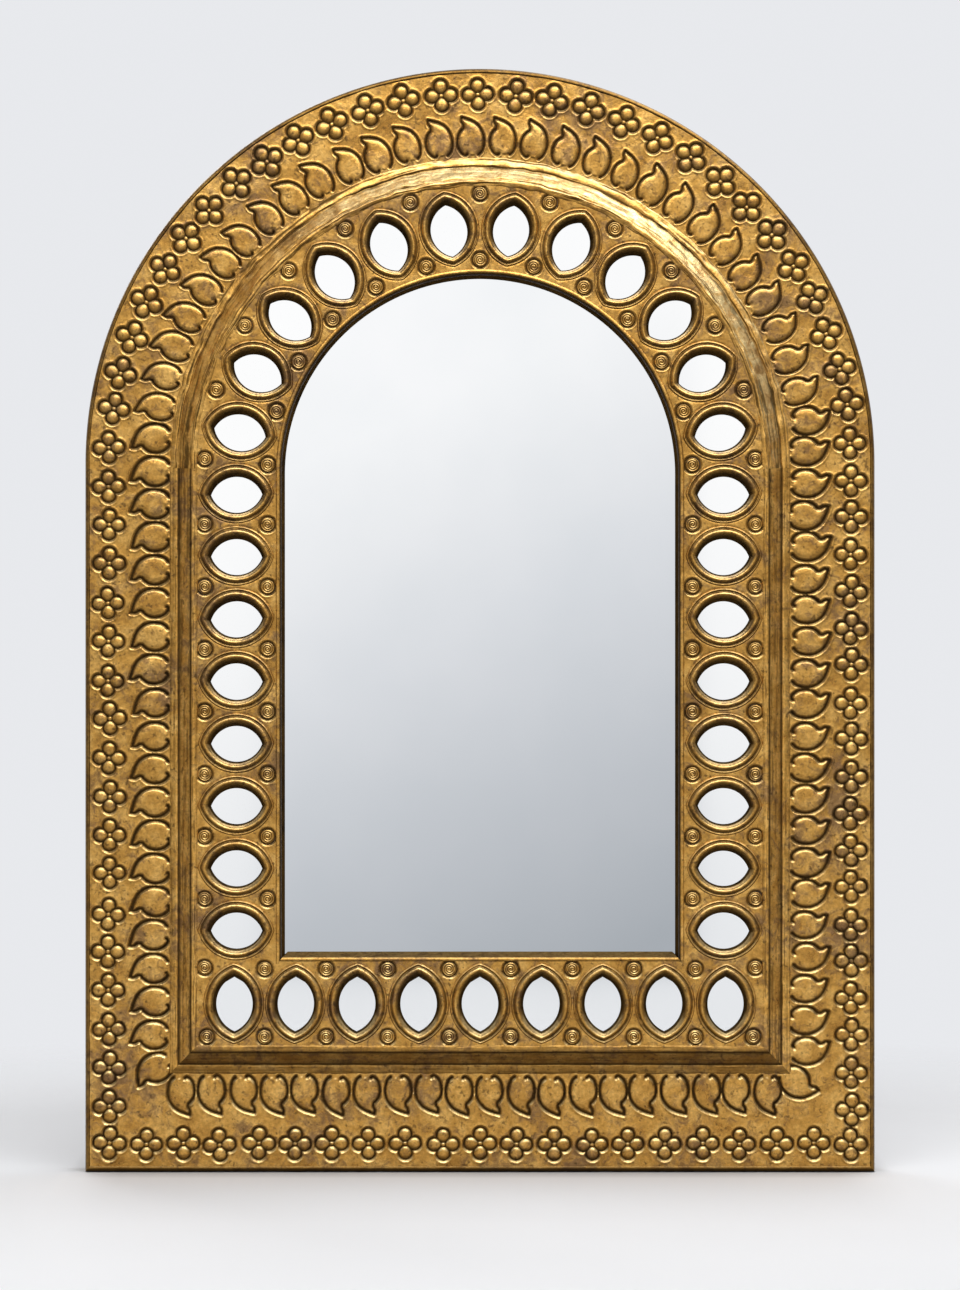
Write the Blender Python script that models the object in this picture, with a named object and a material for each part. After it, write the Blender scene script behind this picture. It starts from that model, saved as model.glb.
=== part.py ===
"""Arched mirror: a timber frame clad in brass, with a pierced frieze round one large glass.

Metres, +Z up. The front faces -Y and the mirror stands on its base edge at z = 0.
A place on the frame is given by its inset, measured inwards from the outer edge,
and its rise, measured forwards from the front face of the timber frame.
"""
import math

import bmesh
import bpy
from mathutils import Matrix, Vector

# Overall sizes
WIDTH = 0.640
HEIGHT = 0.894
GAP = 0.0003

# Widths of the band between the outer edge and the opening of the large glass
SIDE_BAND = 0.161
BASE_BAND = 0.175
TOP_BAND = 0.1696
SIDE_FLANGE = 0.070
BASE_FLANGE = 0.081

# Brass
SHEET_T = 0.0010
EDGE_LIP = 0.0045
MOULDING_FOOT = 0.0060
MOULDING_RUN = 0.0115
MOULDING_LIP = 0.0050
FOOT_LAP = 0.0015
SIGHT_LIP = 0.0060

# Timber
FRAME_T = 0.028
BOARD_T = 0.010
JOINT_ANGLE = math.radians(45.0)
TONGUE_LENGTH = 0.060
TONGUE_DEPTH = 0.020
TONGUE_T = 0.008

# Glass and its back
GLASS_T = 0.004
GLASS_LAP = 0.0075
GLASS_PLAY = 0.0005
INLAY_T = 0.003
INLAY_WIDTH = 0.046
BLOCK_SIZE = 0.010
BLOCK_LENGTH = 0.036
BLOCK_SPREAD = 0.080
BLOCK_ARCH_STEP = 6
BACK_T = 0.004
BACK_LAP = 0.022

# Almond openings of the frieze
OPENING_HALF_LENGTH = 0.0203
OPENING_HALF_WIDTH = 0.0142
OPENING_SHIFT = 0.001
OPENINGS_BASE = 9
OPENINGS_AROUND = 28
SIDE_BOARD_OPENINGS = 8
ARCH_END_OPENINGS = 4
BASE_PITCH = 0.0497
FIRST_OPENING = 0.0607
RIM_SLOPE = 0.0050
RIM_CREST = 0.0008
RIM_WIDTH = 0.0085
RIM_RISE = 0.0015
COLLAR_T = 0.0012

# Hardware
SCREW_R = 0.0020
SCREW_HEAD_R = 0.0038
SCREW_HEAD_T = 0.0022
SCREW_POINT = 0.0040
SCREW_POINT_R = 0.0008
SUNK_HEAD = ((SCREW_R, -SCREW_HEAD_T), (SCREW_HEAD_R, 0.0))
ROUND_HEAD = (
    (SCREW_R, 0.0),
    (SCREW_HEAD_R, 0.0),
    (0.94 * SCREW_HEAD_R, 0.5 * SCREW_HEAD_T),
    (0.6 * SCREW_HEAD_R, SCREW_HEAD_T),
)
BACK_SCREW_LENGTH = 0.016
BACK_SCREW_SPREAD = 0.102
BACK_SCREW_HEIGHTS = (0.25, 0.75)
BACK_SCREW_ANGLE = math.radians(27.0)
HANGER_SCREW_LENGTH = 0.018
HANGER_INSET = 0.066
HANGER_DROP = 0.0105
STRAP_WIDTH = 0.014
STRAP_LENGTH = 0.050
STRAP_T = 0.0012
STRAP_SCREWS = (0.027, 0.041)
RING_WIRE_R = 0.0015
RING_PLAY = 0.0005
RING_HALF_WIDTH = 0.011
RING_DROP = 0.0175
RING_CORNER = 0.003

# Facets
ARCH_STEPS = 36
ALMOND_STEPS = 6
ROUND_SIDES = 8
CURL_STEPS = 10
CURL_ANGLE = math.radians(290.0)
RING_STEPS = 14

# Heights of the layers, forwards from the face of the timber frame
FLANGE_TOP = GAP + SHEET_T
BOARD_TOP = GAP + BOARD_T
FRIEZE_BACK = BOARD_TOP + GAP
FRIEZE_TOP = FRIEZE_BACK + SHEET_T
LIP_TOP = FRIEZE_TOP + GAP + SHEET_T
GROOVE_TOP = GAP + INLAY_T + GAP
COLLAR_END = GROOVE_TOP + GAP
CREST_TOP = FRIEZE_TOP + RIM_RISE

# Layers behind the face of the timber frame
BACK_FACE = FRAME_T + GAP + BACK_T
BARREL_R = RING_WIRE_R + RING_PLAY
BARREL_OUT = BARREL_R + STRAP_T
HANGER_DEPTH = FRAME_T + GAP + 2 * BARREL_OUT
FULL_DEPTH_FRONT = max(CREST_TOP, LIP_TOP)
FULL_DEPTH_BACK = max(BACK_FACE, HANGER_DEPTH)
FACE_Y = (FULL_DEPTH_FRONT - FULL_DEPTH_BACK) / 2

# Insets of the lines that the pieces follow
TIMBER_EDGE = SHEET_T + GAP
REBATE = SIDE_BAND - GLASS_LAP - GLASS_PLAY
FOOT_START = SIDE_FLANGE - FOOT_LAP
BEVEL_START = FOOT_START + MOULDING_FOOT
BEVEL_END = BEVEL_START + MOULDING_RUN
LINING = SIDE_BAND - SHEET_T - GAP
FRIEZE_EDGE = BEVEL_END + SHEET_T
OPENING_LINE = (FRIEZE_EDGE + SIDE_BAND) / 2 - OPENING_SHIFT
GROOVE_OUT = OPENING_LINE - INLAY_WIDTH / 2 - GAP
GROOVE_IN = OPENING_LINE + INLAY_WIDTH / 2 + GAP
BACK_EDGE = REBATE - BACK_LAP
BACK_SCREW_LINE = (BACK_EDGE + REBATE) / 2

BRASS = ("brass", (0.46, 0.29, 0.11), 0.38, 1.0)
DARK_BRASS = ("edge_brass", (0.20, 0.13, 0.06), 0.45, 1.0)
TIMBER = ("timber", (0.36, 0.22, 0.11), 0.65, 0.0)
PALE_TIMBER = ("pale_timber", (0.55, 0.38, 0.21), 0.7, 0.0)
HARDBOARD = ("hardboard", (0.28, 0.17, 0.09), 0.75, 0.0)
MIRROR = ("mirror", (0.92, 0.93, 0.94), 0.02, 1.0)
STEEL = ("steel", (0.50, 0.50, 0.51), 0.35, 1.0)


def half_width(inset):
    return WIDTH / 2 - inset


def base_z(inset):
    """Height of the line at this inset where it runs along the base."""
    if inset <= SIDE_FLANGE:
        return inset * BASE_FLANGE / SIDE_FLANGE
    inner = (BASE_BAND - BASE_FLANGE) / (SIDE_BAND - SIDE_FLANGE)
    return BASE_FLANGE + (inset - SIDE_FLANGE) * inner


def arch_centre(inset):
    """Height of the centre of the arch at this inset, where the sides end."""
    return HEIGHT - inset * TOP_BAND / SIDE_BAND - half_width(inset)


def at(x, rise, z):
    return Vector((x, FACE_Y - rise, z))


# Stations: each returns the (x, z) place of an inset on one cross line of the frame

def corner(side, shift_x=0.0, shift_z=0.0):
    return lambda inset: (side * half_width(inset) + shift_x, base_z(inset) + shift_z)


def level(side, z):
    return lambda inset: (side * half_width(inset), z)


def spring(side, drop=0.0):
    return lambda inset: (side * half_width(inset), arch_centre(inset) - drop)


def arch(angle):
    def place(inset):
        reach = half_width(inset)
        return reach * math.cos(angle), arch_centre(inset) + reach * math.sin(angle)
    return place


def along_base(x):
    return lambda inset: (x, base_z(inset))


def arch_run(start, end, gap_start=0.0, gap_end=0.0):
    """Stations along the arch from one angle to another, leaving a gap at each end."""
    step = math.pi / ARCH_STEPS
    count = max(1, round(abs(end - start) / step))
    turn = math.copysign(1.0, end - start)
    inner = half_width(SIDE_BAND)
    angles = [start + (end - start) * i / count for i in range(count + 1)]
    angles[0] += turn * gap_start / inner
    angles[-1] -= turn * gap_end / inner
    return [arch(angle) for angle in angles]


def whole_ring():
    return [corner(-1)] + arch_run(math.pi, 0.0) + [corner(1)]


def material(slot):
    name, colour, roughness, metallic = slot
    made = bpy.data.materials.get(name)
    if made is None:
        made = bpy.data.materials.new(name)
        made.use_nodes = True
        shader = made.node_tree.nodes["Principled BSDF"]
        shader.inputs["Base Color"].default_value = (*colour, 1.0)
        shader.inputs["Roughness"].default_value = roughness
        shader.inputs["Metallic"].default_value = metallic
    return made


def keep(name, bm, slot, smooth=False):
    """Turn a bmesh into a named object with its material."""
    bmesh.ops.recalc_face_normals(bm, faces=bm.faces)
    mesh = bpy.data.meshes.new(name)
    bm.to_mesh(mesh)
    bm.free()
    if smooth:
        mesh.shade_smooth()
        mesh.set_sharp_from_angle(angle=math.radians(35))
    obj = bpy.data.objects.new(name, mesh)
    bpy.context.scene.collection.objects.link(obj)
    if slot:
        mesh.materials.append(material(slot))
    else:
        obj.hide_render = True
        obj.display_type = "WIRE"
    return obj


def loft(bm, rings, closed=False):
    """Skin the rings of points in order; open ends get flat caps."""
    loops = [[bm.verts.new(point) for point in ring] for ring in rings]
    pairs = list(zip(loops, loops[1:]))
    if closed:
        pairs.append((loops[-1], loops[0]))
    for near, far in pairs:
        for i in range(len(near)):
            j = (i + 1) % len(near)
            bm.faces.new((near[i], near[j], far[j], far[i]))
    if not closed:
        bm.faces.new(loops[0])
        bm.faces.new(loops[-1])


def sweep(name, profile, stations, slot, closed=False):
    """Run a closed profile of (inset, rise) points through the stations."""
    bm = bmesh.new()
    rings = []
    for station in stations:
        ring = []
        for inset, rise in profile:
            x, z = station(inset)
            ring.append(at(x, rise, z))
        rings.append(ring)
    loft(bm, rings, closed)
    return keep(name, bm, slot, smooth=len(stations) > 2)


def band(inset_a, inset_b, rise_a, rise_b):
    return [(inset_a, rise_a), (inset_a, rise_b), (inset_b, rise_b), (inset_b, rise_a)]


def plate(name, inset, rise_a, rise_b, slot):
    """A flat piece with the arched outline of one inset."""
    bm = bmesh.new()
    outline = [station(inset) for station in whole_ring()]
    loft(bm, [[at(x, rise, z) for x, z in outline] for rise in (rise_a, rise_b)])
    return keep(name, bm, slot)


def cut(obj, cutter, operation="DIFFERENCE"):
    tool = obj.modifiers.new(cutter.name, "BOOLEAN")
    tool.operation = operation
    tool.solver = "EXACT"
    tool.object = cutter


def turned_rings(profile, sides):
    """Rings round the Y axis from (radius, depth) points."""
    rings = []
    for radius, depth in profile:
        ring = []
        for i in range(sides):
            angle = 2 * math.pi * (i + 0.5) / sides
            ring.append(Vector((radius * math.cos(angle), depth, radius * math.sin(angle))))
        rings.append(ring)
    return rings


def shift(rings, offset):
    return [[point + offset for point in ring] for ring in rings]


# Places

def upright_length():
    """Length of the line of openings from the base row up to the arch."""
    return arch_centre(OPENING_LINE) - base_z(OPENING_LINE)


def line_length():
    """Length of the line of openings up one side, over the arch and down the other."""
    return 2 * upright_length() + math.pi * half_width(OPENING_LINE)


def opening_run(number):
    """Distance along the line of an opening; a half number lies midway between two."""
    pitch = (line_length() - 2 * FIRST_OPENING) / (OPENINGS_AROUND - 1)
    return FIRST_OPENING + number * pitch


def line_station(run):
    """Station square to the line of openings, and the direction that it points outwards."""
    straight = upright_length()
    if run < straight:
        return level(-1, base_z(OPENING_LINE) + run), math.pi
    if run > line_length() - straight:
        return level(1, base_z(OPENING_LINE) + line_length() - run), 0.0
    angle = math.pi - (run - straight) / half_width(OPENING_LINE)
    return arch(angle), angle


def line_run(start, end):
    """Stations along the line of openings, with those of the arch in between."""
    step = math.pi / ARCH_STEPS * half_width(OPENING_LINE)
    bends = [upright_length() + i * step for i in range(ARCH_STEPS + 1)]
    between = [run for run in bends if start + step / 4 < run < end - step / 4]
    return [line_station(run)[0] for run in [start] + between + [end]]


def opening_places():
    places = []
    for i in range(OPENINGS_BASE):
        x = (i - (OPENINGS_BASE - 1) / 2) * BASE_PITCH
        places.append(((x, base_z(OPENING_LINE)), -math.pi / 2))
    for i in range(OPENINGS_AROUND):
        station, angle = line_station(opening_run(i))
        places.append((station(OPENING_LINE), angle))
    return places


def almond(place, grow, rise):
    """Points of the almond outline, widened evenly by grow, with its length along the band."""
    (cx, cz), angle = place
    radius = (OPENING_HALF_LENGTH ** 2 + OPENING_HALF_WIDTH ** 2) / (2 * OPENING_HALF_WIDTH)
    offset = radius - OPENING_HALF_WIDTH
    wide = radius + grow
    spread = math.acos(offset / wide)
    points = []
    for side in (1, -1):
        for i in range(ALMOND_STEPS):
            turn = spread * (1 - 2 * i / ALMOND_STEPS)
            along = side * wide * math.sin(turn)
            across = side * (wide * math.cos(turn) - offset)
            x = cx + along * math.cos(angle) - across * math.sin(angle)
            z = cz + along * math.sin(angle) + across * math.cos(angle)
            points.append(at(x, rise, z))
    return points


def almonds(name, steps):
    """A cutter with one lofted almond at each opening, from (grow, rise) steps."""
    bm = bmesh.new()
    for place in opening_places():
        loft(bm, [almond(place, grow, rise) for grow, rise in steps])
    return keep(name, bm, None)


def back_screw_places():
    places = []
    for side in (-1, 1):
        places.append(along_base(side * BACK_SCREW_SPREAD)(BACK_SCREW_LINE))
        for share in BACK_SCREW_HEIGHTS:
            low, high = base_z(BACK_SCREW_LINE), arch_centre(BACK_SCREW_LINE)
            places.append(level(side, low + share * (high - low))(BACK_SCREW_LINE))
        places.append(arch(math.pi / 2 - side * BACK_SCREW_ANGLE)(BACK_SCREW_LINE))
    return places


def hanger_place(side):
    """The (x, z) place of a hanger's barrel, just below the arch."""
    return side * half_width(HANGER_INSET), arch_centre(HANGER_INSET) - HANGER_DROP


def joint_places():
    """Name, (x, z) place and turn of each joint in the timber frame."""
    middle = (TIMBER_EDGE + REBATE) / 2
    places = []
    for side, word in ((-1, "left"), (1, "right")):
        places.append(("base_" + word, level(side, base_z(REBATE) + GAP / 2)(middle), 0.0))
        places.append(("spring_" + word, spring(side, GAP / 2)(middle), 0.0))
        angle = math.pi / 2 - side * JOINT_ANGLE
        places.append(("arch_" + word, arch(angle)(middle), angle))
    return places


def tongue_box(bm, place, turn, clearance):
    """A tongue in the XZ plane, its length along the joint, widened by the clearance."""
    size = Vector((TONGUE_LENGTH, TONGUE_T, 2 * TONGUE_DEPTH)) + Vector((2, 2, 2)) * clearance
    x, z = place
    move = Matrix.Translation(at(x, -FRAME_T / 2, z)) @ Matrix.Rotation(-turn, 4, "Y")
    bmesh.ops.create_cube(bm, size=1.0, matrix=move @ Matrix.Diagonal((*size, 1.0)))


def frame_cutter():
    """Tongue slots and screw holes of the timber frame."""
    bm = bmesh.new()
    for _, place, turn in joint_places():
        tongue_box(bm, place, turn, GAP)
    hole = SCREW_R + GAP
    for x, z in back_screw_places():
        depth = BACK_SCREW_LENGTH - BACK_T
        rings = turned_rings([(hole, -depth - GAP), (hole, GAP)], ROUND_SIDES)
        loft(bm, shift(rings, at(x, -FRAME_T, z)))
    for side in (-1, 1):
        x, z = hanger_place(side)
        for drop in STRAP_SCREWS:
            depth = HANGER_SCREW_LENGTH - STRAP_T
            rings = turned_rings([(hole, -depth - GAP), (hole, GAP)], ROUND_SIDES)
            loft(bm, shift(rings, at(x, -FRAME_T, z - drop)))
    return keep("frame_cutter", bm, None)


# Pieces

def timber_frame():
    cutter = frame_cutter()
    section = band(TIMBER_EDGE, REBATE, -FRAME_T, 0.0)
    boards = []
    bm = bmesh.new()
    reach = half_width(TIMBER_EDGE)
    low, high = base_z(TIMBER_EDGE), base_z(REBATE)
    front = [at(-reach, 0, low), at(reach, 0, low), at(reach, 0, high), at(-reach, 0, high)]
    loft(bm, [front, [point + Vector((0, FRAME_T, 0)) for point in front]])
    boards.append(keep("base_rail", bm, TIMBER))
    for side, word in ((-1, "left"), (1, "right")):
        run = [level(side, base_z(REBATE) + GAP), spring(side, GAP)]
        boards.append(sweep(word + "_stile", section, run, TIMBER))
        start = math.pi if side < 0 else 0.0
        joint = math.pi / 2 - side * JOINT_ANGLE
        boards.append(sweep("arch_" + word, section, arch_run(start, joint, 0.0, GAP / 2), TIMBER))
    left, right = math.pi / 2 + JOINT_ANGLE, math.pi / 2 - JOINT_ANGLE
    boards.append(sweep("arch_crown", section, arch_run(left, right, GAP / 2, GAP / 2), TIMBER))
    for board in boards:
        cut(board, cutter)
    for word, place, turn in joint_places():
        bm = bmesh.new()
        tongue_box(bm, place, turn, 0.0)
        keep("tongue_" + word, bm, PALE_TIMBER)


def board_runs(prefix):
    """Names and stations of the six pieces that follow the frieze, jointed between openings."""
    whole = line_length()
    part = GAP / 2 * half_width(OPENING_LINE) / half_width(SIDE_BAND)
    low = opening_run(SIDE_BOARD_OPENINGS - 0.5)
    high = opening_run(SIDE_BOARD_OPENINGS + ARCH_END_OPENINGS - 0.5)
    left = [corner(-1, shift_z=GAP)] + line_run(0.0, low - part)[1:]
    right = line_run(whole - low + part, whole)[:-1] + [corner(1, shift_z=GAP)]
    return {
        prefix + "base": [corner(-1, shift_x=GAP), corner(1, shift_x=-GAP)],
        prefix + "left": left,
        prefix + "right": right,
        prefix + "arch_left": line_run(low + part, high - part),
        prefix + "arch_crown": line_run(high + part, whole - high - part),
        prefix + "arch_right": line_run(whole - high + part, whole - low - part),
    }


def frieze_boards():
    slope = MOULDING_RUN / (LIP_TOP - FLANGE_TOP - GAP - SHEET_T)
    foot = BEVEL_START + 3 * GAP - (FLANGE_TOP - GAP) * slope
    section = [
        (foot, GAP),
        (foot + BOARD_T * slope, BOARD_TOP),
        (LINING, BOARD_TOP),
        (LINING, GAP),
        (GROOVE_IN, GAP),
        (GROOVE_IN, GROOVE_TOP),
        (GROOVE_OUT, GROOVE_TOP),
        (GROOVE_OUT, GAP),
    ]
    flare = (RIM_SLOPE + COLLAR_T) / (CREST_TOP - COLLAR_END)
    wide = COLLAR_T + 2 * GAP
    low, high = GROOVE_TOP - GAP, FRIEZE_TOP
    holes = almonds("board_holes", [(wide, low), (wide + flare * (high - low), high)])
    for name, run in board_runs("frieze_board_").items():
        cut(sweep(name, section, run, PALE_TIMBER), holes)


def inlay_mirrors():
    """Mirror strips in the groove; the base strip runs through both corners."""
    section = band(GROOVE_OUT + GAP, GROOVE_IN - GAP, GAP, GAP + INLAY_T)
    reach = half_width(GROOVE_OUT + GAP)
    above = base_z(GROOVE_IN)
    runs = board_runs("inlay_mirror_")
    runs["inlay_mirror_base"] = [along_base(-reach), along_base(reach)]
    runs["inlay_mirror_left"][0] = level(-1, above)
    runs["inlay_mirror_right"][-1] = level(1, above)
    for name, run in runs.items():
        sweep(name, section, run, MIRROR)


def frieze_sheet():
    section = band(FRIEZE_EDGE, LINING, FRIEZE_BACK, FRIEZE_TOP)
    sheet = sweep("frieze_sheet", section, whole_ring(), BRASS, closed=True)
    flare = RIM_SLOPE / (CREST_TOP - COLLAR_END)
    middle = (FRIEZE_BACK + FRIEZE_TOP) / 2
    rims = almonds("rims", [
        (COLLAR_T, COLLAR_END),
        (COLLAR_T + flare * (middle - COLLAR_END), middle),
        (RIM_WIDTH, middle),
        (RIM_SLOPE + RIM_CREST, CREST_TOP),
    ])
    throats = almonds("throats", [
        (-flare * GAP, COLLAR_END - GAP),
        (RIM_SLOPE + flare * GAP, CREST_TOP + GAP),
    ])
    cut(sheet, rims, "UNION")
    cut(sheet, throats)


def brass_strips():
    edge = [
        (0.0, -FRAME_T),
        (0.0, FLANGE_TOP + GAP + SHEET_T),
        (EDGE_LIP, FLANGE_TOP + GAP + SHEET_T),
        (EDGE_LIP, FLANGE_TOP + GAP),
        (SHEET_T, FLANGE_TOP + GAP),
        (SHEET_T, -FRAME_T),
    ]
    sides = [corner(-1, shift_z=GAP)] + arch_run(math.pi, 0.0) + [corner(1, shift_z=GAP)]
    base = [corner(-1, shift_x=GAP), corner(1, shift_x=-GAP)]
    sweep("edge_strip_sides", edge, sides, DARK_BRASS)
    sweep("edge_strip_base", edge, base, DARK_BRASS)

    flange = band(TIMBER_EDGE, BEVEL_START - SHEET_T, GAP, FLANGE_TOP)
    sweep("flange_sheet", flange, whole_ring(), BRASS, closed=True)

    foot, top = FLANGE_TOP + GAP, FRIEZE_TOP + GAP
    moulding = [
        (FOOT_START, foot),
        (FOOT_START, foot + SHEET_T),
        (BEVEL_START - SHEET_T / 2, foot + SHEET_T),
        (BEVEL_END - SHEET_T / 2, LIP_TOP),
        (BEVEL_END + MOULDING_LIP, LIP_TOP),
        (BEVEL_END + MOULDING_LIP, top),
        (BEVEL_END, top),
        (BEVEL_START, foot),
    ]
    sweep("moulding_base", moulding, base, BRASS)
    sweep("moulding_left", moulding, [corner(-1, shift_z=GAP), spring(-1, GAP)], BRASS)
    sweep("moulding_right", moulding, [corner(1, shift_z=GAP), spring(1, GAP)], BRASS)
    sweep("moulding_arch", moulding, arch_run(math.pi, 0.0), BRASS)

    sight = [
        (SIDE_BAND - SIGHT_LIP, top),
        (SIDE_BAND - SIGHT_LIP, LIP_TOP),
        (SIDE_BAND, LIP_TOP),
        (SIDE_BAND, GAP),
        (SIDE_BAND - SHEET_T, GAP),
        (SIDE_BAND - SHEET_T, top),
    ]
    sweep("sight_strip_arch", sight, sides, BRASS)
    sweep("sight_strip_base", sight, base, BRASS)


def glass_and_back():
    plate("mirror_glass", SIDE_BAND - GLASS_LAP, -GLASS_T, 0.0, MIRROR)
    near = REBATE + GAP
    behind = -GLASS_T - GAP
    block = [(near, behind), (near + BLOCK_SIZE, behind), (near, behind - BLOCK_SIZE)]
    runs = []
    for side in (-1, 1):
        x = side * BLOCK_SPREAD
        runs.append([along_base(x - BLOCK_LENGTH / 2), along_base(x + BLOCK_LENGTH / 2)])
        z = (base_z(REBATE) + arch_centre(REBATE)) / 2
        runs.append([level(side, z - BLOCK_LENGTH / 2), level(side, z + BLOCK_LENGTH / 2)])
        step = math.pi / ARCH_STEPS
        first = math.pi / 2 - side * BLOCK_ARCH_STEP * step
        runs.append(arch_run(first, first - side * 2 * step))
    for number, run in enumerate(runs, start=1):
        sweep("glass_block_%d" % number, block, run, PALE_TIMBER)

    board = plate("backing_board", BACK_EDGE, -BACK_FACE, -FRAME_T - GAP, HARDBOARD)
    hole, sink = SCREW_R + GAP, SCREW_HEAD_R + GAP
    countersink = turned_rings([
        (hole, -SCREW_HEAD_T - BACK_T),
        (hole, -SCREW_HEAD_T),
        (sink, 0.0),
        (sink, BACK_T),
    ], ROUND_SIDES)
    bm = bmesh.new()
    for number, (x, z) in enumerate(back_screw_places(), start=1):
        head = at(x, -BACK_FACE + GAP, z)
        loft(bm, shift(countersink, head))
        screw("back_screw_%d" % number, BACK_SCREW_LENGTH, SUNK_HEAD, head)
    cut(board, keep("back_holes", bm, None))


def screw(name, length, head, place):
    """A screw driven forwards, its head turned from (radius, depth) points at the place."""
    profile = [(SCREW_POINT_R, -length), (SCREW_R, -length + SCREW_POINT)] + list(head)
    bm = bmesh.new()
    loft(bm, turned_rings(profile, ROUND_SIDES))
    obj = keep(name, bm, STEEL, smooth=True)
    obj.location = place


def strap_section():
    """Outline of the strap, a strip rolled over at the top, round the barrel's centre."""
    middle = BARREL_R + STRAP_T / 2
    line = [Vector((-middle, -STRAP_LENGTH)), Vector((-middle, -BARREL_OUT))]
    for i in range(CURL_STEPS + 1):
        angle = math.pi - CURL_ANGLE * i / CURL_STEPS
        line.append(Vector((middle * math.cos(angle), middle * math.sin(angle))))
    outer, inner = [], []
    for i, point in enumerate(line):
        ahead = line[min(i + 1, len(line) - 1)] - line[max(i - 1, 0)]
        side = Vector((-ahead.y, ahead.x)).normalized() * STRAP_T / 2
        outer.append(point + side)
        inner.append(point - side)
    return outer + inner[::-1]


def ring_curve(name):
    """D-shaped wire ring whose straight bar lies on the object's X axis."""
    flat = RING_HALF_WIDTH - RING_CORNER
    points = [(-flat, 0.0), (0.0, 0.0), (flat, 0.0)]
    turn = math.radians(45)
    points.append((flat + RING_CORNER * math.sin(turn), RING_CORNER * (math.cos(turn) - 1)))
    for i in range(RING_STEPS + 1):
        angle = math.pi * i / RING_STEPS
        drop = RING_CORNER + (RING_DROP - RING_CORNER) * math.sin(angle)
        points.append((RING_HALF_WIDTH * math.cos(angle), -drop))
    points.append((-flat - RING_CORNER * math.sin(turn), RING_CORNER * (math.cos(turn) - 1)))
    curve = bpy.data.curves.new(name, "CURVE")
    curve.dimensions = "3D"
    curve.bevel_depth = RING_WIRE_R
    curve.bevel_resolution = 1
    line = curve.splines.new("POLY")
    line.points.add(len(points) - 1)
    for spot, (x, z) in zip(line.points, points):
        spot.co = (x, 0.0, z, 1.0)
    line.use_cyclic_u = True
    curve.materials.append(material(STEEL))
    obj = bpy.data.objects.new(name, curve)
    bpy.context.scene.collection.objects.link(obj)
    return obj


def hangers():
    for side, word in ((-1, "left"), (1, "right")):
        x, z = hanger_place(side)
        barrel = at(x, -FRAME_T - GAP - BARREL_OUT, z)
        bm = bmesh.new()
        section = strap_section()
        half = STRAP_WIDTH / 2
        loft(bm, [[Vector((end, p.x, p.y)) for p in section] for end in (-half, half)])
        strap = keep("hanger_strap_" + word, bm, STEEL, smooth=True)
        strap.location = barrel
        bm = bmesh.new()
        for drop in STRAP_SCREWS:
            hole = SCREW_R + GAP
            rings = turned_rings([(hole, -2 * BARREL_OUT), (hole, 0.0)], ROUND_SIDES)
            loft(bm, shift(rings, barrel - Vector((0, 0, drop))))
        cut(strap, keep("strap_holes_" + word, bm, None))
        for number, drop in enumerate(STRAP_SCREWS, start=1):
            head = at(x, -FRAME_T - GAP - STRAP_T - GAP, z - drop)
            screw("hanger_screw_%s_%d" % (word, number), HANGER_SCREW_LENGTH, ROUND_HEAD, head)
        ring_curve("hanger_ring_" + word).location = barrel


def main():
    for obj in list(bpy.data.objects):
        bpy.data.objects.remove(obj)
    timber_frame()
    frieze_boards()
    inlay_mirrors()
    brass_strips()
    frieze_sheet()
    glass_and_back()
    hangers()


main()
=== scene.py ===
"""Arched mirror clad in punched brass: the looks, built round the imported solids.

Metres, +Z up, the front faces -Y. A place on the frame is an inset, inwards from the outer edge,
and a rise, forwards from the front face of the timber.
"""

import math

import bpy
import numpy as np
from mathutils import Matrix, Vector


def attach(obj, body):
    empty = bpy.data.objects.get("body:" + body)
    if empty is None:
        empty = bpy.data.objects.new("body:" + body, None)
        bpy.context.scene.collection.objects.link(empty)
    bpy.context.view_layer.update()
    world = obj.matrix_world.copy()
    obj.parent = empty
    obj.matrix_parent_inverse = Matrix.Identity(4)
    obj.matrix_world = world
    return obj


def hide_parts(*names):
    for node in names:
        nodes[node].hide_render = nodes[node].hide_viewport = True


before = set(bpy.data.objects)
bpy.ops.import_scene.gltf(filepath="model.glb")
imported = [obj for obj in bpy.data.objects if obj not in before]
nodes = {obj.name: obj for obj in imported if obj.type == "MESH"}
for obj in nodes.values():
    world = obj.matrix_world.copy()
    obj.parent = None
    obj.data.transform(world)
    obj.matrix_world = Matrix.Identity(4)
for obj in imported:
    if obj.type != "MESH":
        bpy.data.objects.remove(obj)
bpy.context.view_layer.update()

MM = 0.001
FAR = 99.0

# The band round the large glass
WIDTH, HEIGHT = 0.640, 0.894
SIDE_BAND, BASE_BAND, TOP_BAND = 0.161, 0.175, 0.1696
SIDE_FLANGE, BASE_FLANGE = 0.070, 0.081
FACE_Y = -0.0108
MIDDLE_Z = 0.5

# Rises of the brass
FLANGE_TOP = 2.2 * MM
PLATEAU = 11.6 * MM

# Almond openings: half length and half breadth in millimetres
AROUND_ALMOND, BASE_ALMOND = (20.9, 14.7), (22.4, 14.8)
ALMOND_LINE = 0.123
BASE_ALMOND_LIFT = 1.5 * MM
ALMONDS_BASE, ALMONDS_AROUND = 9, 28
BASE_PITCH, FIRST_ALMOND = 0.0497, 0.0607
OPENING_DROP = 0.9 * MM

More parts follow.
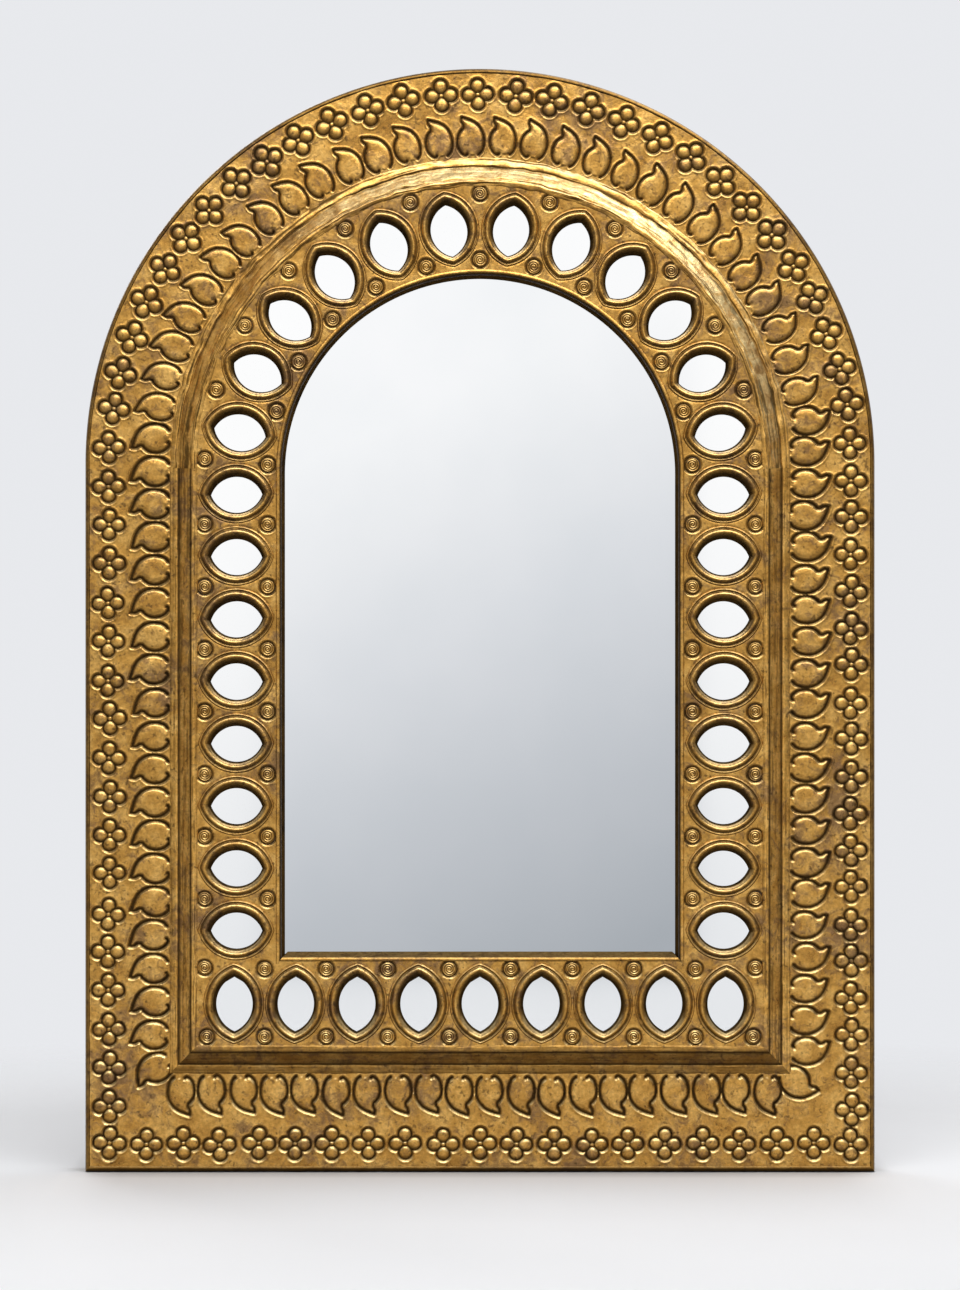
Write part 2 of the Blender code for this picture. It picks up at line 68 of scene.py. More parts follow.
# Rows of marks on the straight sides: the row's line, its two ends and how many
BASE_FLOWERS, BASE_LEAVES = (0.0223, -0.3003, 0.3003, 21), (0.0632, -0.2420, 0.2330, 20)
LEFT_FLOWERS, LEFT_LEAVES = (-0.3006, 0.0527, 0.5865, 18), (-0.2660, 0.1112, 0.5940, 19)
RIGHT_FLOWERS, RIGHT_LEAVES = (0.3006, 0.0505, 0.5902, 19), (0.2660, 0.0970, 0.6083, 21)
CORNER_LEAVES = [(-0.2645, 0.0830, 205.0, 0.95), (0.2570, 0.0705, -42.0, 0.95)]

# Rows round the arch: angles just past both ends and the row's inset
FLOWER_ENDS, LEAF_ENDS = (3.3, 177.4), (8.0, 175.1)
FLOWER_LINE, LEAF_LINE = 0.0194, 0.0535
ARCH_FLOWERS = ARCH_LEAVES = 29
FLOWER_BREADTHS, LEAF_BREADTHS = (1.0, 1.0, 1.0, 1.0), (0.88, 0.97, 0.93, 0.88)

# Bosses: heights of the two rows at the base, and the last ones there
LOW_BOSSES, HIGH_BOSSES, LAST_BOSS = 0.1102, 0.1650, 0.2205
CORNER_BOSS_X, CORNER_BOSS_Z = 0.2224, 0.166
BOSS_OUT = 0.0254

# Punches, in millimetres
PETAL_AT, PETAL_R, PETAL_TOP = 7.5, 4.75, 0.45
PETAL_ROOT, PETAL_WAIST = 0.86, 0.5
MOAT, BEAD_R = 1.5, 1.8
LEAF_CUT, LEAF_DOME, FINE_CUT = 1.5, 0.66, 0.76
BOSS_R, BOSS_MOAT, COIL = 6.0, 1.1, 1.75

# How unsteady the hand is: turn in radians and share of the size
TURN_SLIP, SIZE_SLIP = 0.04, 0.02
PLACE_SLIP = 0.5 * MM

# Unevenness of the beaten sheets: height in millimetres, size of the bumps, seed
BEATEN = ((0.25, 0.026, 3), (0.15, 0.011, 4), (0.05, 0.0048, 5))

# Painted light and shade: painted shade on faces that point down, how far hollows that face up are painted
# lighter, extra painted highlight at the foot
UNDER_SHADE, LIFT = 0.7, 0.45
FOOT_HIGHLIGHT, FOOT_ZONE = 1.1, (0.03, 0.25)
LINE_CUT, LINE_DARK = 0.22, 0.62
STRAY, FIXED_RISE = 1.6, 0.9

# Hangers: the ring's axis, then curl, strap and ring in millimetres
HANGER_X, HANGER_Y, HANGER_Z = 0.254, 0.0207, 0.559975
CURL_TURN, CURL_R = math.radians(290), 2.6
STRAP_FOOT, STRAP_HALF, STRAP_THICK = -50.0, 7.0, 1.2
RING_BAR, RING_CORNER, RING_HALF, RING_DROP = 8.0, 3.0, 11.0, 14.5
WIRE_R, WIRE_STEPS, SCREW_STEPS = 1.5, 16, 36
SLOT = (9 * MM, 2.0 * MM, 1.0 * MM)
SCREW_CREASE, STRAP_CREASE = math.radians(28), math.radians(35)

# Points closer than this are made one, in metres
BRASS_SEAM, STEEL_SEAM = 0.00002, 0.00001


# The band's lines

def half_width(inset):
    return WIDTH / 2 - inset


def base_z(inset):
    inner = (BASE_BAND - BASE_FLANGE) / (SIDE_BAND - SIDE_FLANGE)
    on_flange = inset * BASE_FLANGE / SIDE_FLANGE
    return np.where(inset <= SIDE_FLANGE, on_flange, BASE_FLANGE + (inset - SIDE_FLANGE) * inner)


def arch_centre(inset):
    return HEIGHT - inset * TOP_BAND / SIDE_BAND - half_width(inset)


def band_place(stretch, share, inset):
    """Place (x, z) on a stretch: along the base to the right, up, over the arch, down the left."""
    reach, low, spring = half_width(inset), base_z(inset), arch_centre(inset)
    if stretch == "base":
        return (2 * share - 1) * reach, low
    if stretch == "right":
        return reach, low + share * (spring - low)
    if stretch == "left":
        return -reach, spring - share * (spring - low)
    angle = math.pi * share
    return reach * math.cos(angle), spring + reach * math.sin(angle)


def stretch_length(stretch, inset):
    if stretch == "base":
        return 2 * half_width(inset)
    if stretch == "arch":
        return math.pi * half_width(inset)
    return float(arch_centre(inset) - base_z(inset))


def lay_round(stretches, pitch, line, insets):
    """Places of a grid laid along the stretches: x and z, one row for each cross line."""
    rows_x, rows_z = [], []
    for stretch, start, end in stretches:
        count = max(2, round(stretch_length(stretch, line) * (end - start) / pitch))
        for step in range(1 if rows_x else 0, count + 1):
            share = start + (end - start) * step / count
            x, z = band_place(stretch, share, insets)
            rows_x.append(np.broadcast_to(x, insets.shape))
            rows_z.append(np.broadcast_to(z, insets.shape))
    return np.array(rows_x), np.array(rows_z)


# Places of the marks

def almond_run(number):
    """How far round the band the almond of that number lies, from the left foot."""
    reach = half_width(ALMOND_LINE)
    whole = 2 * (arch_centre(ALMOND_LINE) - base_z(ALMOND_LINE)) + math.pi * reach
    return FIRST_ALMOND + number * (whole - 2 * FIRST_ALMOND) / (ALMONDS_AROUND - 1)


def line_place(run, inset):
    """Place and outward direction at a distance along the line of almonds, moved to an inset."""
    reach = half_width(ALMOND_LINE)
    straight = float(arch_centre(ALMOND_LINE) - base_z(ALMOND_LINE))
    low = float(base_z(ALMOND_LINE))
    if run <= straight:
        return -half_width(inset), low + run, math.pi
    if run >= straight + math.pi * reach:
        return half_width(inset), low + 2 * straight + math.pi * reach - run, 0.0
    angle = math.pi - (run - straight) / reach
    x, z = band_place("arch", angle / math.pi, inset)
    return x, z, angle


def almond_places():
    """Centre, outward direction and size of every almond opening."""
    places = []
    row = float(base_z(ALMOND_LINE))
    for number in range(ALMONDS_BASE):
        x = (number - (ALMONDS_BASE - 1) / 2) * BASE_PITCH
        places.append((x, row + BASE_ALMOND_LIFT, -math.pi / 2, BASE_ALMOND))
    for number in range(ALMONDS_AROUND):
        places.append((*line_place(almond_run(number), ALMOND_LINE), AROUND_ALMOND))
    return places


def boss_places():
    """Centre, outward direction and breadth of the small round bosses between the almonds."""
    spots = []
    for number in range(ALMONDS_BASE + 1):
        x = (number - ALMONDS_BASE / 2) * BASE_PITCH
        spots.append((max(-LAST_BOSS, min(LAST_BOSS, x)), LOW_BOSSES))
        if 0 < number < ALMONDS_BASE:
            spots.append((x, HIGH_BOSSES))
    spots += [(-CORNER_BOSS_X, CORNER_BOSS_Z), (CORNER_BOSS_X, CORNER_BOSS_Z)]
    for number in range(ALMONDS_AROUND - 1):
        for out in (-BOSS_OUT, BOSS_OUT):
            spots.append(line_place(almond_run(number + 0.5), ALMOND_LINE + out)[:2])
    return [(x, z, 0.0, 1.0) for x, z in spots]


def straight_rows(base, left, right, breadths):
    """Centre, outward direction in degrees and breadth of the marks on base, left and right."""
    line, start, end, count = base
    places = [(x, line, -90.0, breadths[0]) for x in np.linspace(start, end, count)]
    for (line, start, end, count), turn, breadth in zip((left, right), (180.0, 0.0), breadths[1:]):
        places += [(line, z, turn, breadth) for z in np.linspace(start, end, count)]
    return places


def arch_row(ends, count, line, breadth):
    """Centre, outward direction in degrees and breadth of the marks round the arch."""
    places = []
    for angle in np.linspace(*ends, count + 2)[1:-1]:
        x, z = band_place("arch", angle / 180, line)
        places.append((x, z, angle, breadth))
    return places


def in_radians(places):
    return [(x, z, math.radians(turn), breadth) for x, z, turn, breadth in places]


def flower_places():
    return in_radians(straight_rows(BASE_FLOWERS, LEFT_FLOWERS, RIGHT_FLOWERS, FLOWER_BREADTHS)
                      + arch_row(FLOWER_ENDS, ARCH_FLOWERS, FLOWER_LINE, FLOWER_BREADTHS[-1]))


def leaf_places():
    return in_radians(straight_rows(BASE_LEAVES, LEFT_LEAVES, RIGHT_LEAVES, LEAF_BREADTHS) + CORNER_LEAVES
                      + arch_row(LEAF_ENDS, ARCH_LEAVES, LEAF_LINE, LEAF_BREADTHS[-1]))


# Shapes of the punches, in millimetres

def ease(low, high, value):
    share = np.clip((value - low) / (high - low), 0.0, 1.0)
    return share * share * (3 - 2 * share)


def ridge(away, at, breadth, height):
    """A soft ridge at a distance from a mark."""
    return height * np.exp(-((away - at) / breadth) ** 2)


def smooth_line(points, steps):
    """A curve through the points."""
    points = np.array(points, dtype=float)
    ends = np.vstack([2 * points[0] - points[1], points, 2 * points[-1] - points[-2]])
    line = []
    for a, b, c, d in zip(ends, ends[1:], ends[2:], ends[3:]):
        for step in range(steps):
            t = step / steps
            line.append(0.5 * (2 * b + (c - a) * t + (2 * a - 5 * b + 4 * c - d) * t * t
                               + (3 * b - a - 3 * c + d) * t ** 3))
    line.append(points[-1])
    return np.array(line)


# Edge of the leaf from its upper root round the back to the tip, and in again along the belly
LEAF_BACK = smooth_line([(-13.2, -6.9), (-10.6, -9.8), (-5.5, -11.8), (0.5, -12.0), (6.0, -10.2),
                         (10.8, -6.4), (13.8, -1.4), (15.6, 3.8), (16.8, 8.0)], 5)
LEAF_BELLY = smooth_line([(16.8, 8.0), (13.6, 8.2), (10.6, 6.5), (8.0, 6.6), (6.2, 8.6), (2.8, 11.0),
                          (-2.2, 12.1), (-7.6, 11.2), (-11.6, 8.6), (-13.6, 5.2), (-12.6, 3.2)], 5)
LEAF_EDGE = np.vstack([LEAF_BACK, LEAF_BELLY[1:]])


def strike_flower(along, out):
    """Four domed petals and a bead, sunk in a moat."""
    away = np.full(along.shape, FAR)
    for forward, across in ((along, out), (-along, out), (out, along), (-out, along)):
        taper = np.clip((PETAL_AT - forward) / PETAL_AT, 0.0, 1.0)
        reach = np.where(forward < PETAL_AT, PETAL_ROOT, 1.0) * (forward - PETAL_AT)
        away = np.minimum(away, np.hypot(reach, across * (1 + PETAL_WAIST * taper ** 2)) - PETAL_R)
    dome = np.clip(-away / PETAL_R, 0.0, 1.0)
    petals = -MOAT + (MOAT + PETAL_TOP) * np.sqrt(1 - (1 - dome) ** 2)
    ground = -MOAT * (1 - ease(0.6, 2.7, away)) + ridge(away, 3.0, 0.85, 0.36)
    depth = np.where(away < 0, petals, ground)
    bead = np.clip(1 - (along ** 2 + out ** 2) / BEAD_R ** 2, 0.0, 1.0)
    return np.maximum(depth, np.where(bead > 0, -MOAT + np.sqrt(bead), -FAR))


def strike_leaf(along, out, cut=1.0):
    """A leaf with a cut outline, open at its root, its tip leaning along the row."""
    away = np.full(along.shape, FAR)
    inside = np.zeros(along.shape, dtype=bool)
    for (p, q), (r, s) in zip(LEAF_EDGE, np.roll(LEAF_EDGE, -1, axis=0)):
        crosses = ((q > along) != (s > along))
        if s != q:
            inside ^= crosses & (out < (r - p) * (along - q) / (s - q) + p)
    for (p, q), (r, s) in zip(LEAF_EDGE, LEAF_EDGE[1:]):
        share = ((out - p) * (r - p) + (along - q) * (s - q)) / ((r - p) ** 2 + (s - q) ** 2)
        share = np.clip(share, 0, 1)
        away = np.minimum(away, np.hypot(out - p - share * (r - p), along - q - share * (s - q)))
    away = away / cut
    ground = -LEAF_CUT * (1 - ease(0.5, 2.4, away)) + ridge(away, 2.7, 0.9, 0.42)
    body = -LEAF_CUT * (1 - ease(0.4, 2.2, away)) + LEAF_DOME * ease(0.8, 6.0, away)
    return np.where(inside, body, ground)


def strike_fine_leaf(along, out):
    """The leaves of the arch, with a narrower cut."""
    return strike_leaf(along, out, FINE_CUT)


def strike_boss(along, out):
    """The moat of a round boss."""
    reach = np.hypot(along, out)
    moat = -BOSS_MOAT * (1 - ease(BOSS_R + 0.3, BOSS_R + 1.9, reach))
    return moat + ridge(reach - BOSS_R, 2.1, 0.7, 0.2)


def almond_arc(size):
    """Radius of an almond's two arcs, and how far their centres lie from its middle."""
    half_length, half_breadth = size
    radius = (half_length ** 2 + half_breadth ** 2) / (2 * half_breadth)
    return radius, radius - half_breadth


def turned(dx, dz, turn):
    """Distances along a row and outwards from it."""
    along = dz * math.cos(turn) - dx * math.sin(turn)
    return along, dx * math.cos(turn) + dz * math.sin(turn)


def strike(x, z, depth, places, punch, reach, slip):
    """Press a punch into the sheet at each place; the deeper mark stays."""
    for cx, cz, turn, breadth in places:
        cx, cz = cx + chance.normal(0, slip), cz + chance.normal(0, slip)
        turn = turn + chance.normal(0, TURN_SLIP)
        size = 1 + chance.normal(0, SIZE_SLIP)
        near = (np.abs(x - cx) < reach) & (np.abs(z - cz) < reach)
        along, out = turned((x[near] - cx) / MM / size, (z[near] - cz) / MM / size, turn)
        mark, old = punch(along / breadth, out), depth[near]
        depth[near] = np.where(np.abs(mark) > np.abs(old), mark, old)


def beaten(x, z, size, seed):
    """Uneven beaten ground, about -1 to 1, with bumps of the given size."""
    pegs = 64
    lattice = np.random.default_rng(seed).uniform(-1, 1, (pegs, pegs))
    a, b = x / size + 31.3, z / size + 17.7
    i, j = np.floor(a).astype(int), np.floor(b).astype(int)
    u, v = ease(0, 1, a - i), ease(0, 1, b - j)

    def peg(m, n):
        return lattice[m % pegs, n % pegs]

    low = peg(i, j) * (1 - u) + peg(i + 1, j) * u
    high = peg(i, j + 1) * (1 - u) + peg(i + 1, j + 1) * u
    return low * (1 - v) + high * v


# Making pieces

def put_down():
    bpy.ops.object.select_all(action="DESELECT")


def pick_up(piece):
    put_down()
    piece.select_set(True)
    bpy.context.view_layer.objects.active = piece


def points_of(sheet):
    spots = np.empty(len(sheet.data.vertices) * 3)
    sheet.data.vertices.foreach_get("co", spots)
    return spots.reshape(-1, 3)


def set_points(sheet, x, y, z):
    sheet.data.vertices.foreach_set("co", np.stack([x, y, z], axis=1).ravel())


def blank_sheet(name, long_cuts, cross_cuts):
    """A flat square of metal, cut into a grid and ready to be laid."""
    put_down()
    bpy.ops.mesh.primitive_grid_add(x_subdivisions=long_cuts, y_subdivisions=cross_cuts, size=2.0)
    sheet = bpy.context.object
    sheet.name = sheet.data.name = name
    spots = points_of(sheet)
    step = np.rint((spots[:, 0] + 1) / 2 * long_cuts).astype(int)
    row = np.rint((spots[:, 1] + 1) / 2 * cross_cuts).astype(int)
    return sheet, step, row


def lay(sheet, x, rise, z, hollow, lift=LIFT, shade=UNDER_SHADE, rub_and_sheen=(0.16, 0.5), side_rub_and_sheen=0.0):
    """Lay the sheet's points on the frame and note how hollow and shaded, and how rubbed and lit, each is.

    Where the brass faces up, over the range of tilt given for rubbing, it is rubbed and gets a painted
    highlight; the side turn tips that way to the right. Hollows that face up are painted lighter by lift,
    and what faces down is darkened with painted shade, as much as shade gives.
    """
    set_points(sheet, x, FACE_Y - rise, z)
    sheet.data.update()
    facing = np.empty(len(sheet.data.vertices) * 3)
    sheet.data.vertex_normals.foreach_get("vector", facing)
    lean = facing[2::3]
    open_side = lean * math.cos(side_rub_and_sheen) + facing[0::3] * math.sin(side_rub_and_sheen)
    # Painted shade on faces that point down, and painted light on hollows that face up
    under = shade * ease(0.05, 0.52, -lean)
    hollow = np.clip(hollow, 0, 1) * (1 - lift * ease(0.1, 0.6, lean))
    # Rubbing and a painted highlight where the brass faces up, more of it at the foot
    worn_and_sheen = ease(*rub_and_sheen, open_side) * (1 + FOOT_HIGHLIGHT * (1 - ease(*FOOT_ZONE, z)))
    # The painted shade is noted with the hollows
    for word, amount in (("hollow", hollow + under * (1 - hollow)), ("worn_and_sheen", worn_and_sheen)):
        note = sheet.data.attributes.new(word, "FLOAT", "POINT")
        note.data.foreach_set("value", amount.astype(np.float32))
    pick_up(sheet)
    bpy.ops.object.shade_smooth()


def dress(piece, finish, body="frame", stands_for=()):
    piece.data.materials.clear()
    piece.data.materials.append(finish)
    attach(piece, body)
    if stands_for:
        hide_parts(*stands_for)


def struck_sheet(name, stretches, insets, rise, marks, finish):
    """A sheet of brass laid along the band and punched."""
    x, z = lay_round(stretches, PITCH, float(insets.mean()), insets)
    sheet, step, row = blank_sheet(name, x.shape[0] - 1, x.shape[1] - 1)
    x, z = x[step, row], z[step, row]
    depth = marks(x, z)
    uneven = sum(height * beaten(x, z, size, seed) for height, size, seed in BEATEN)
    # Darker the deeper the punch: soot in the moats, with painted shade
    lay(sheet, x, rise + (depth + uneven) * MM, z, ease(0.55, 1.2, -depth))
    dress(sheet, finish)
    return sheet


def moulded_strip(name, section, stretches, pitch, finish, slot, shake=0.08, crinkle=0.0, dark=1.0,
                  drawn=0.0, lift=LIFT, shade=UNDER_SHADE, rub_and_sheen=(0.28, 0.7), side_rub_and_sheen=0.0):
    """A strip of brass with the section (inset, rise, hollow) in millimetres run along the band.

    shake is its fine unevenness, crinkle its long waves, drawn the strength of the lines along it.
    """
    spots = np.arange(0, len(section) - 0.5, 0.5)
    section = np.stack([np.interp(spots, range(len(section)), column) for column in zip(*section)], axis=1)
    line = float(section[:, 0].mean()) * MM
    x, z = lay_round(stretches, pitch, line, section[:, 0] * MM)
    sheet, step, row = blank_sheet(name, x.shape[0] - 1, x.shape[1] - 1)
    x, z = x[step, row], z[step, row]
    stray = STRAY * crinkle * MM * beaten(step * 0.45, row * 0.25, 3.0, 14)
    side = np.hypot(x, z - MIDDLE_Z)
    x, z = x + stray * x / side, z + stray * (z - MIDDLE_Z) / side
    rise, hollow = section[row, 1] * MM, dark * section[row, 2]
    uneven = shake * (beaten(x, z, 0.009, 11) + 0.6 * beaten(x, z, 0.0035, 12))
    uneven += crinkle * beaten(step * 0.4, row * 0.5, 3.0, 13)
    scratch = beaten(step * 0.035, row * 0.75, 1.0, 15) + 0.35 * beaten(step * 0.3, row * 0.75, 1.0, 16)
    lines = drawn * ease(0.1, 0.7, scratch)
    uneven -= LINE_CUT * lines
    hollow = hollow + LINE_DARK * lines * (1 - hollow)
    uneven = np.where(section[row, 1] > FIXED_RISE, uneven, 0.0)
    lay(sheet, x, rise + uneven * MM, z, hollow, lift, shade, rub_and_sheen, side_rub_and_sheen)
    dress(sheet, finish)
    return sheet


# Finishes: the helpers take a material, or the world

def new_finish(name):
    finish = bpy.data.materials.new(name)
    finish.use_nodes = True
    return finish, finish.node_tree.nodes["Principled BSDF"]


def add_node(finish, kind, **settings):
    node = finish.node_tree.nodes.new(kind)
    for key, value in settings.items():
        if key.islower():
            setattr(node, key, value)
        else:
            node.inputs[key.replace("_", " ")].default_value = value
    return node


def wire(finish, start, end):
    finish.node_tree.links.new(start, end)


def mapped(finish, where, **settings):
    mapping = add_node(finish, "ShaderNodeMapping", **settings)
    wire(finish, where, mapping.inputs["Vector"])
    return mapping.outputs["Vector"]


def place_of(finish, turn=0.0):
    """Places on the piece, turned about Y."""
    where = add_node(finish, "ShaderNodeTexCoord").outputs["Object"]
    return mapped(finish, where, Rotation=(0, turn, 0))


def drawn_out(finish, where, along, across):
    """Places stretched along the grain."""
    return mapped(finish, where, Scale=(along, across, across))


def clouds(finish, where, scale, detail=4.0, rough=0.55, swirl=0.0):
    noise = add_node(finish, "ShaderNodeTexNoise", Scale=scale, Detail=detail, Roughness=rough,
                     Distortion=swirl)
    wire(finish, where, noise.inputs["Vector"])
    return noise.outputs["Fac"]


def ramp(finish, value, stops):
    node = add_node(finish, "ShaderNodeValToRGB")
    band = node.color_ramp
    while len(band.elements) < len(stops):
        band.elements.new(0.5)
    for element, (place, colour) in zip(band.elements, stops):
        element.position = place
        element.color = (*colour, 1.0)
    wire(finish, value, node.inputs["Fac"])
    return node.outputs["Color"]


def grey(value):
    return (value, value, value)


def toned(tone, colour):
    return tuple(tone * c for c in colour)


def blend_colour(finish, share, under, over):
    mix = add_node(finish, "ShaderNodeMix", data_type="RGBA")
    wire(finish, share, mix.inputs[0])
    for socket, colour in ((mix.inputs[6], under), (mix.inputs[7], over)):
        if isinstance(colour, tuple):
            socket.default_value = (*colour, 1.0)
        else:
            wire(finish, colour, socket)
    return mix.outputs[2]


def sums(finish, way, *values):
    node = add_node(finish, "ShaderNodeMath", operation=way)
    for socket, value in zip(node.inputs, values):
        if isinstance(value, float):
            socket.default_value = value
        else:
            wire(finish, value, socket)
    return node.outputs[0]


def spread(finish, value, low, high, to_low, to_high, way="LINEAR"):
    node = add_node(finish, "ShaderNodeMapRange", interpolation_type=way,
                    From_Min=low, From_Max=high, To_Min=to_low, To_Max=to_high)
    wire(finish, value, node.inputs["Value"])
    return node.outputs["Result"]


def fade(finish, value, low, high, to_low=0.0, to_high=1.0):
    return spread(finish, value, low, high, to_low, to_high, "SMOOTHSTEP")


def dents(finish, shader, heights):
    """Stack bumps of (height, strength, depth in metres)."""
    last = None
    for height, strength, depth in heights:
        bump = add_node(finish, "ShaderNodeBump", Strength=strength, Distance=depth)
        wire(finish, height, bump.inputs["Height"])
        if last:
            wire(finish, last, bump.inputs["Normal"])
        last = bump.outputs["Normal"]
    wire(finish, last, shader.inputs["Normal"])


# Brass from dark to light, rubbed bright with a painted highlight, what lies on it, and soot with painted
# shade
BRASS = ((0.30, (0.38, 0.186, 0.038)), (0.48, (0.57, 0.305, 0.068)), (0.68, (0.74, 0.440, 0.125)))
RUBBED_AND_SHEEN, PALE_RUBBED_AND_SHEEN = (0.85, 0.61, 0.26), (0.70, 0.55, 0.275)
STAIN, SMEAR, SPECKS = (0.158, 0.097, 0.064), (0.24, 0.130, 0.045), (0.055, 0.034, 0.020)
GRAIN, SOOT_AND_SHADE = (0.12, 0.060, 0.018), (0.020, 0.011, 0.004)


def aged_brass(name, tone=1.0, patina=1.0, rub_and_sheen=1.0, bright=RUBBED_AND_SHEEN):
    """Old brass: stains, smears and specks, bright where rubbed and where a highlight is painted, dark with
    soot and painted shade in the hollows and under ledges.
    """
    finish, shader = new_finish(name)
    where = place_of(finish)
    broad = clouds(finish, where, 19.0, 5.0, 0.6)
    mottle = clouds(finish, where, 55.0, 6.0, 0.62, 0.4)
    fine = clouds(finish, where, 420.0, 4.0, 0.6)
    speck = clouds(finish, where, 260.0, 2.0, 0.5)
    patchy = clouds(finish, where, 115.0, 5.0, 0.68, 0.8)
    hollow, worn_and_sheen = (add_node(finish, "ShaderNodeAttribute", attribute_name=word).outputs["Fac"]
                    for word in ("hollow", "worn_and_sheen"))
    colour = ramp(finish, mottle, [(place, toned(tone, metal)) for place, metal in BRASS])
    stain = sums(finish, "ADD", sums(finish, "MULTIPLY", broad, 0.8), sums(finish, "MULTIPLY", patchy, 0.8))
    stain = spread(finish, stain, 0.80, 0.98, 0.0, 0.72 * patina)
    colour = blend_colour(finish, stain, colour, toned(tone, STAIN))
    smear = spread(finish, patchy, 0.55, 0.68, 0.0, 0.55 * patina)
    colour = blend_colour(finish, smear, colour, toned(tone, SMEAR))
    dots = spread(finish, speck, 0.61, 0.71, 0.0, 0.62 * patina)
    colour = blend_colour(finish, dots, colour, SPECKS)
    # Rubbed brass, partly wear and partly a painted highlight
    rubbed_and_sheen = sums(finish, "MULTIPLY", worn_and_sheen, spread(finish, patchy, 0.46, 0.62, 0.75 * rub_and_sheen, 0.20 * rub_and_sheen))
    colour = blend_colour(finish, rubbed_and_sheen, colour, toned(tone, bright))
    colour = blend_colour(finish, spread(finish, fine, 0.3, 0.7, 0.45, 0.0), colour, GRAIN)
    # Soot in the hollows, with painted shade in them and under ledges
    deep = sums(finish, "MULTIPLY", hollow, spread(finish, mottle, 0.3, 0.7, 0.88, 1.0))
    colour = blend_colour(finish, deep, colour, SOOT_AND_SHADE)
    wire(finish, colour, shader.inputs["Base Color"])
    shader.inputs["Specular IOR Level"].default_value = 0.0
    wire(finish, spread(finish, deep, 0.3, 0.9, 1.0, 0.0), shader.inputs["Metallic"])
    rough = spread(finish, mottle, 0.3, 0.7, 0.25, 0.40)
    rough = sums(finish, "ADD", rough, sums(finish, "MULTIPLY", hollow, 0.45))
    wire(finish, rough, shader.inputs["Roughness"])
    dents(finish, shader, [(fine, 0.40, 0.0005), (patchy, 0.30, 0.0010), (mottle, 0.35, 0.0014)])
    return finish


def silvered_glass(name, haze_low, haze_high, dull, bright):
    finish, shader = new_finish(name)
    cloud = clouds(finish, place_of(finish), 9.0, 3.0, 0.5)
    wire(finish, ramp(finish, cloud, [(0.3, dull), (0.7, bright)]), shader.inputs["Base Color"])
    shader.inputs["Metallic"].default_value = 1.0
    wire(finish, spread(finish, cloud, 0.3, 0.7, haze_low, haze_high), shader.inputs["Roughness"])
    return finish


def grained_wood(name, turn, dark, light):
    """Sawn wood, its grain level or turned by an angle."""
    finish, shader = new_finish(name)
    where = place_of(finish, turn)
    fibre = clouds(finish, drawn_out(finish, where, 4.0, 60.0), 3.0, 6.0, 0.6, 0.3)
    rings = clouds(finish, drawn_out(finish, where, 1.2, 14.0), 2.2, 3.0, 0.5, 1.2)
    pores = clouds(finish, drawn_out(finish, where, 10.0, 320.0), 2.6, 3.0, 0.6, 0.2)
    soil = clouds(finish, where, 7.0, 4.0, 0.6)
    bands = sums(finish, "PINGPONG", sums(finish, "MULTIPLY", rings, 9.0), 1.0)
    colour = ramp(finish, bands, [(0.0, dark), (0.7, light), (1.0, toned(0.8, light))])
    for cover, low, high, most, tone in ((fibre, 0.35, 0.7, 0.6, 0.55), (pores, 0.52, 0.68, 0.75, 0.35),
                                         (soil, 0.45, 0.75, 0.45, 0.5)):
        colour = blend_colour(finish, spread(finish, cover, low, high, 0.0, most), colour, toned(tone, dark))
    wire(finish, colour, shader.inputs["Base Color"])
    wire(finish, spread(finish, fibre, 0.3, 0.7, 0.55, 0.8), shader.inputs["Roughness"])
    dents(finish, shader, [(fibre, 0.35, 0.0006), (pores, 0.40, 0.0004)])
    return finish


def pressed_board(name):
    finish, shader = new_finish(name)
    where = place_of(finish)
    fibre = clouds(finish, where, 430.0, 6.0, 0.7, 0.6)
    broad = clouds(finish, where, 6.0, 4.0, 0.55)
    colour = ramp(finish, fibre, [(0.3, (0.12, 0.068, 0.034)), (0.5, (0.22, 0.13, 0.068)),
                                  (0.72, (0.34, 0.215, 0.12))])
    colour = blend_colour(finish, spread(finish, broad, 0.45, 0.75, 0.0, 0.4), colour, (0.11, 0.066, 0.036))
    wire(finish, colour, shader.inputs["Base Color"])
    wire(finish, spread(finish, fibre, 0.3, 0.7, 0.6, 0.85), shader.inputs["Roughness"])
    dents(finish, shader, [(fibre, 0.3, 0.0003)])
    return finish


def zinc_steel(name):
    finish, shader = new_finish(name)
    where = place_of(finish)
    spangle = clouds(finish, where, 240.0, 4.0, 0.6)
    dull = clouds(finish, where, 60.0, 4.0, 0.6)
    colour = ramp(finish, spangle, [(0.3, (0.36, 0.36, 0.35)), (0.7, (0.62, 0.62, 0.60))])
    colour = blend_colour(finish, spread(finish, dull, 0.55, 0.75, 0.0, 0.7), colour, (0.20, 0.15, 0.10))
    wire(finish, colour, shader.inputs["Base Color"])
    shader.inputs["Metallic"].default_value = 1.0
    wire(finish, spread(finish, dull, 0.3, 0.7, 0.26, 0.5), shader.inputs["Roughness"])
    dents(finish, shader, [(spangle, 0.2, 0.0002)])
    return finish


flange_brass = aged_brass("flange_brass", 1.16)
frieze_brass = aged_brass("frieze_brass", 1.14, 1.1)
# Lighter copies of the brass for the mouldings and the arch: painted light; the arch's pale rubbed colour is
# also partly wear
moulding_brass = aged_brass("moulding_brass", 1.42, 1.0, 0.45)
arch_brass = aged_brass("arch_brass", 1.42, 0.5, 1.45, PALE_RUBBED_AND_SHEEN)
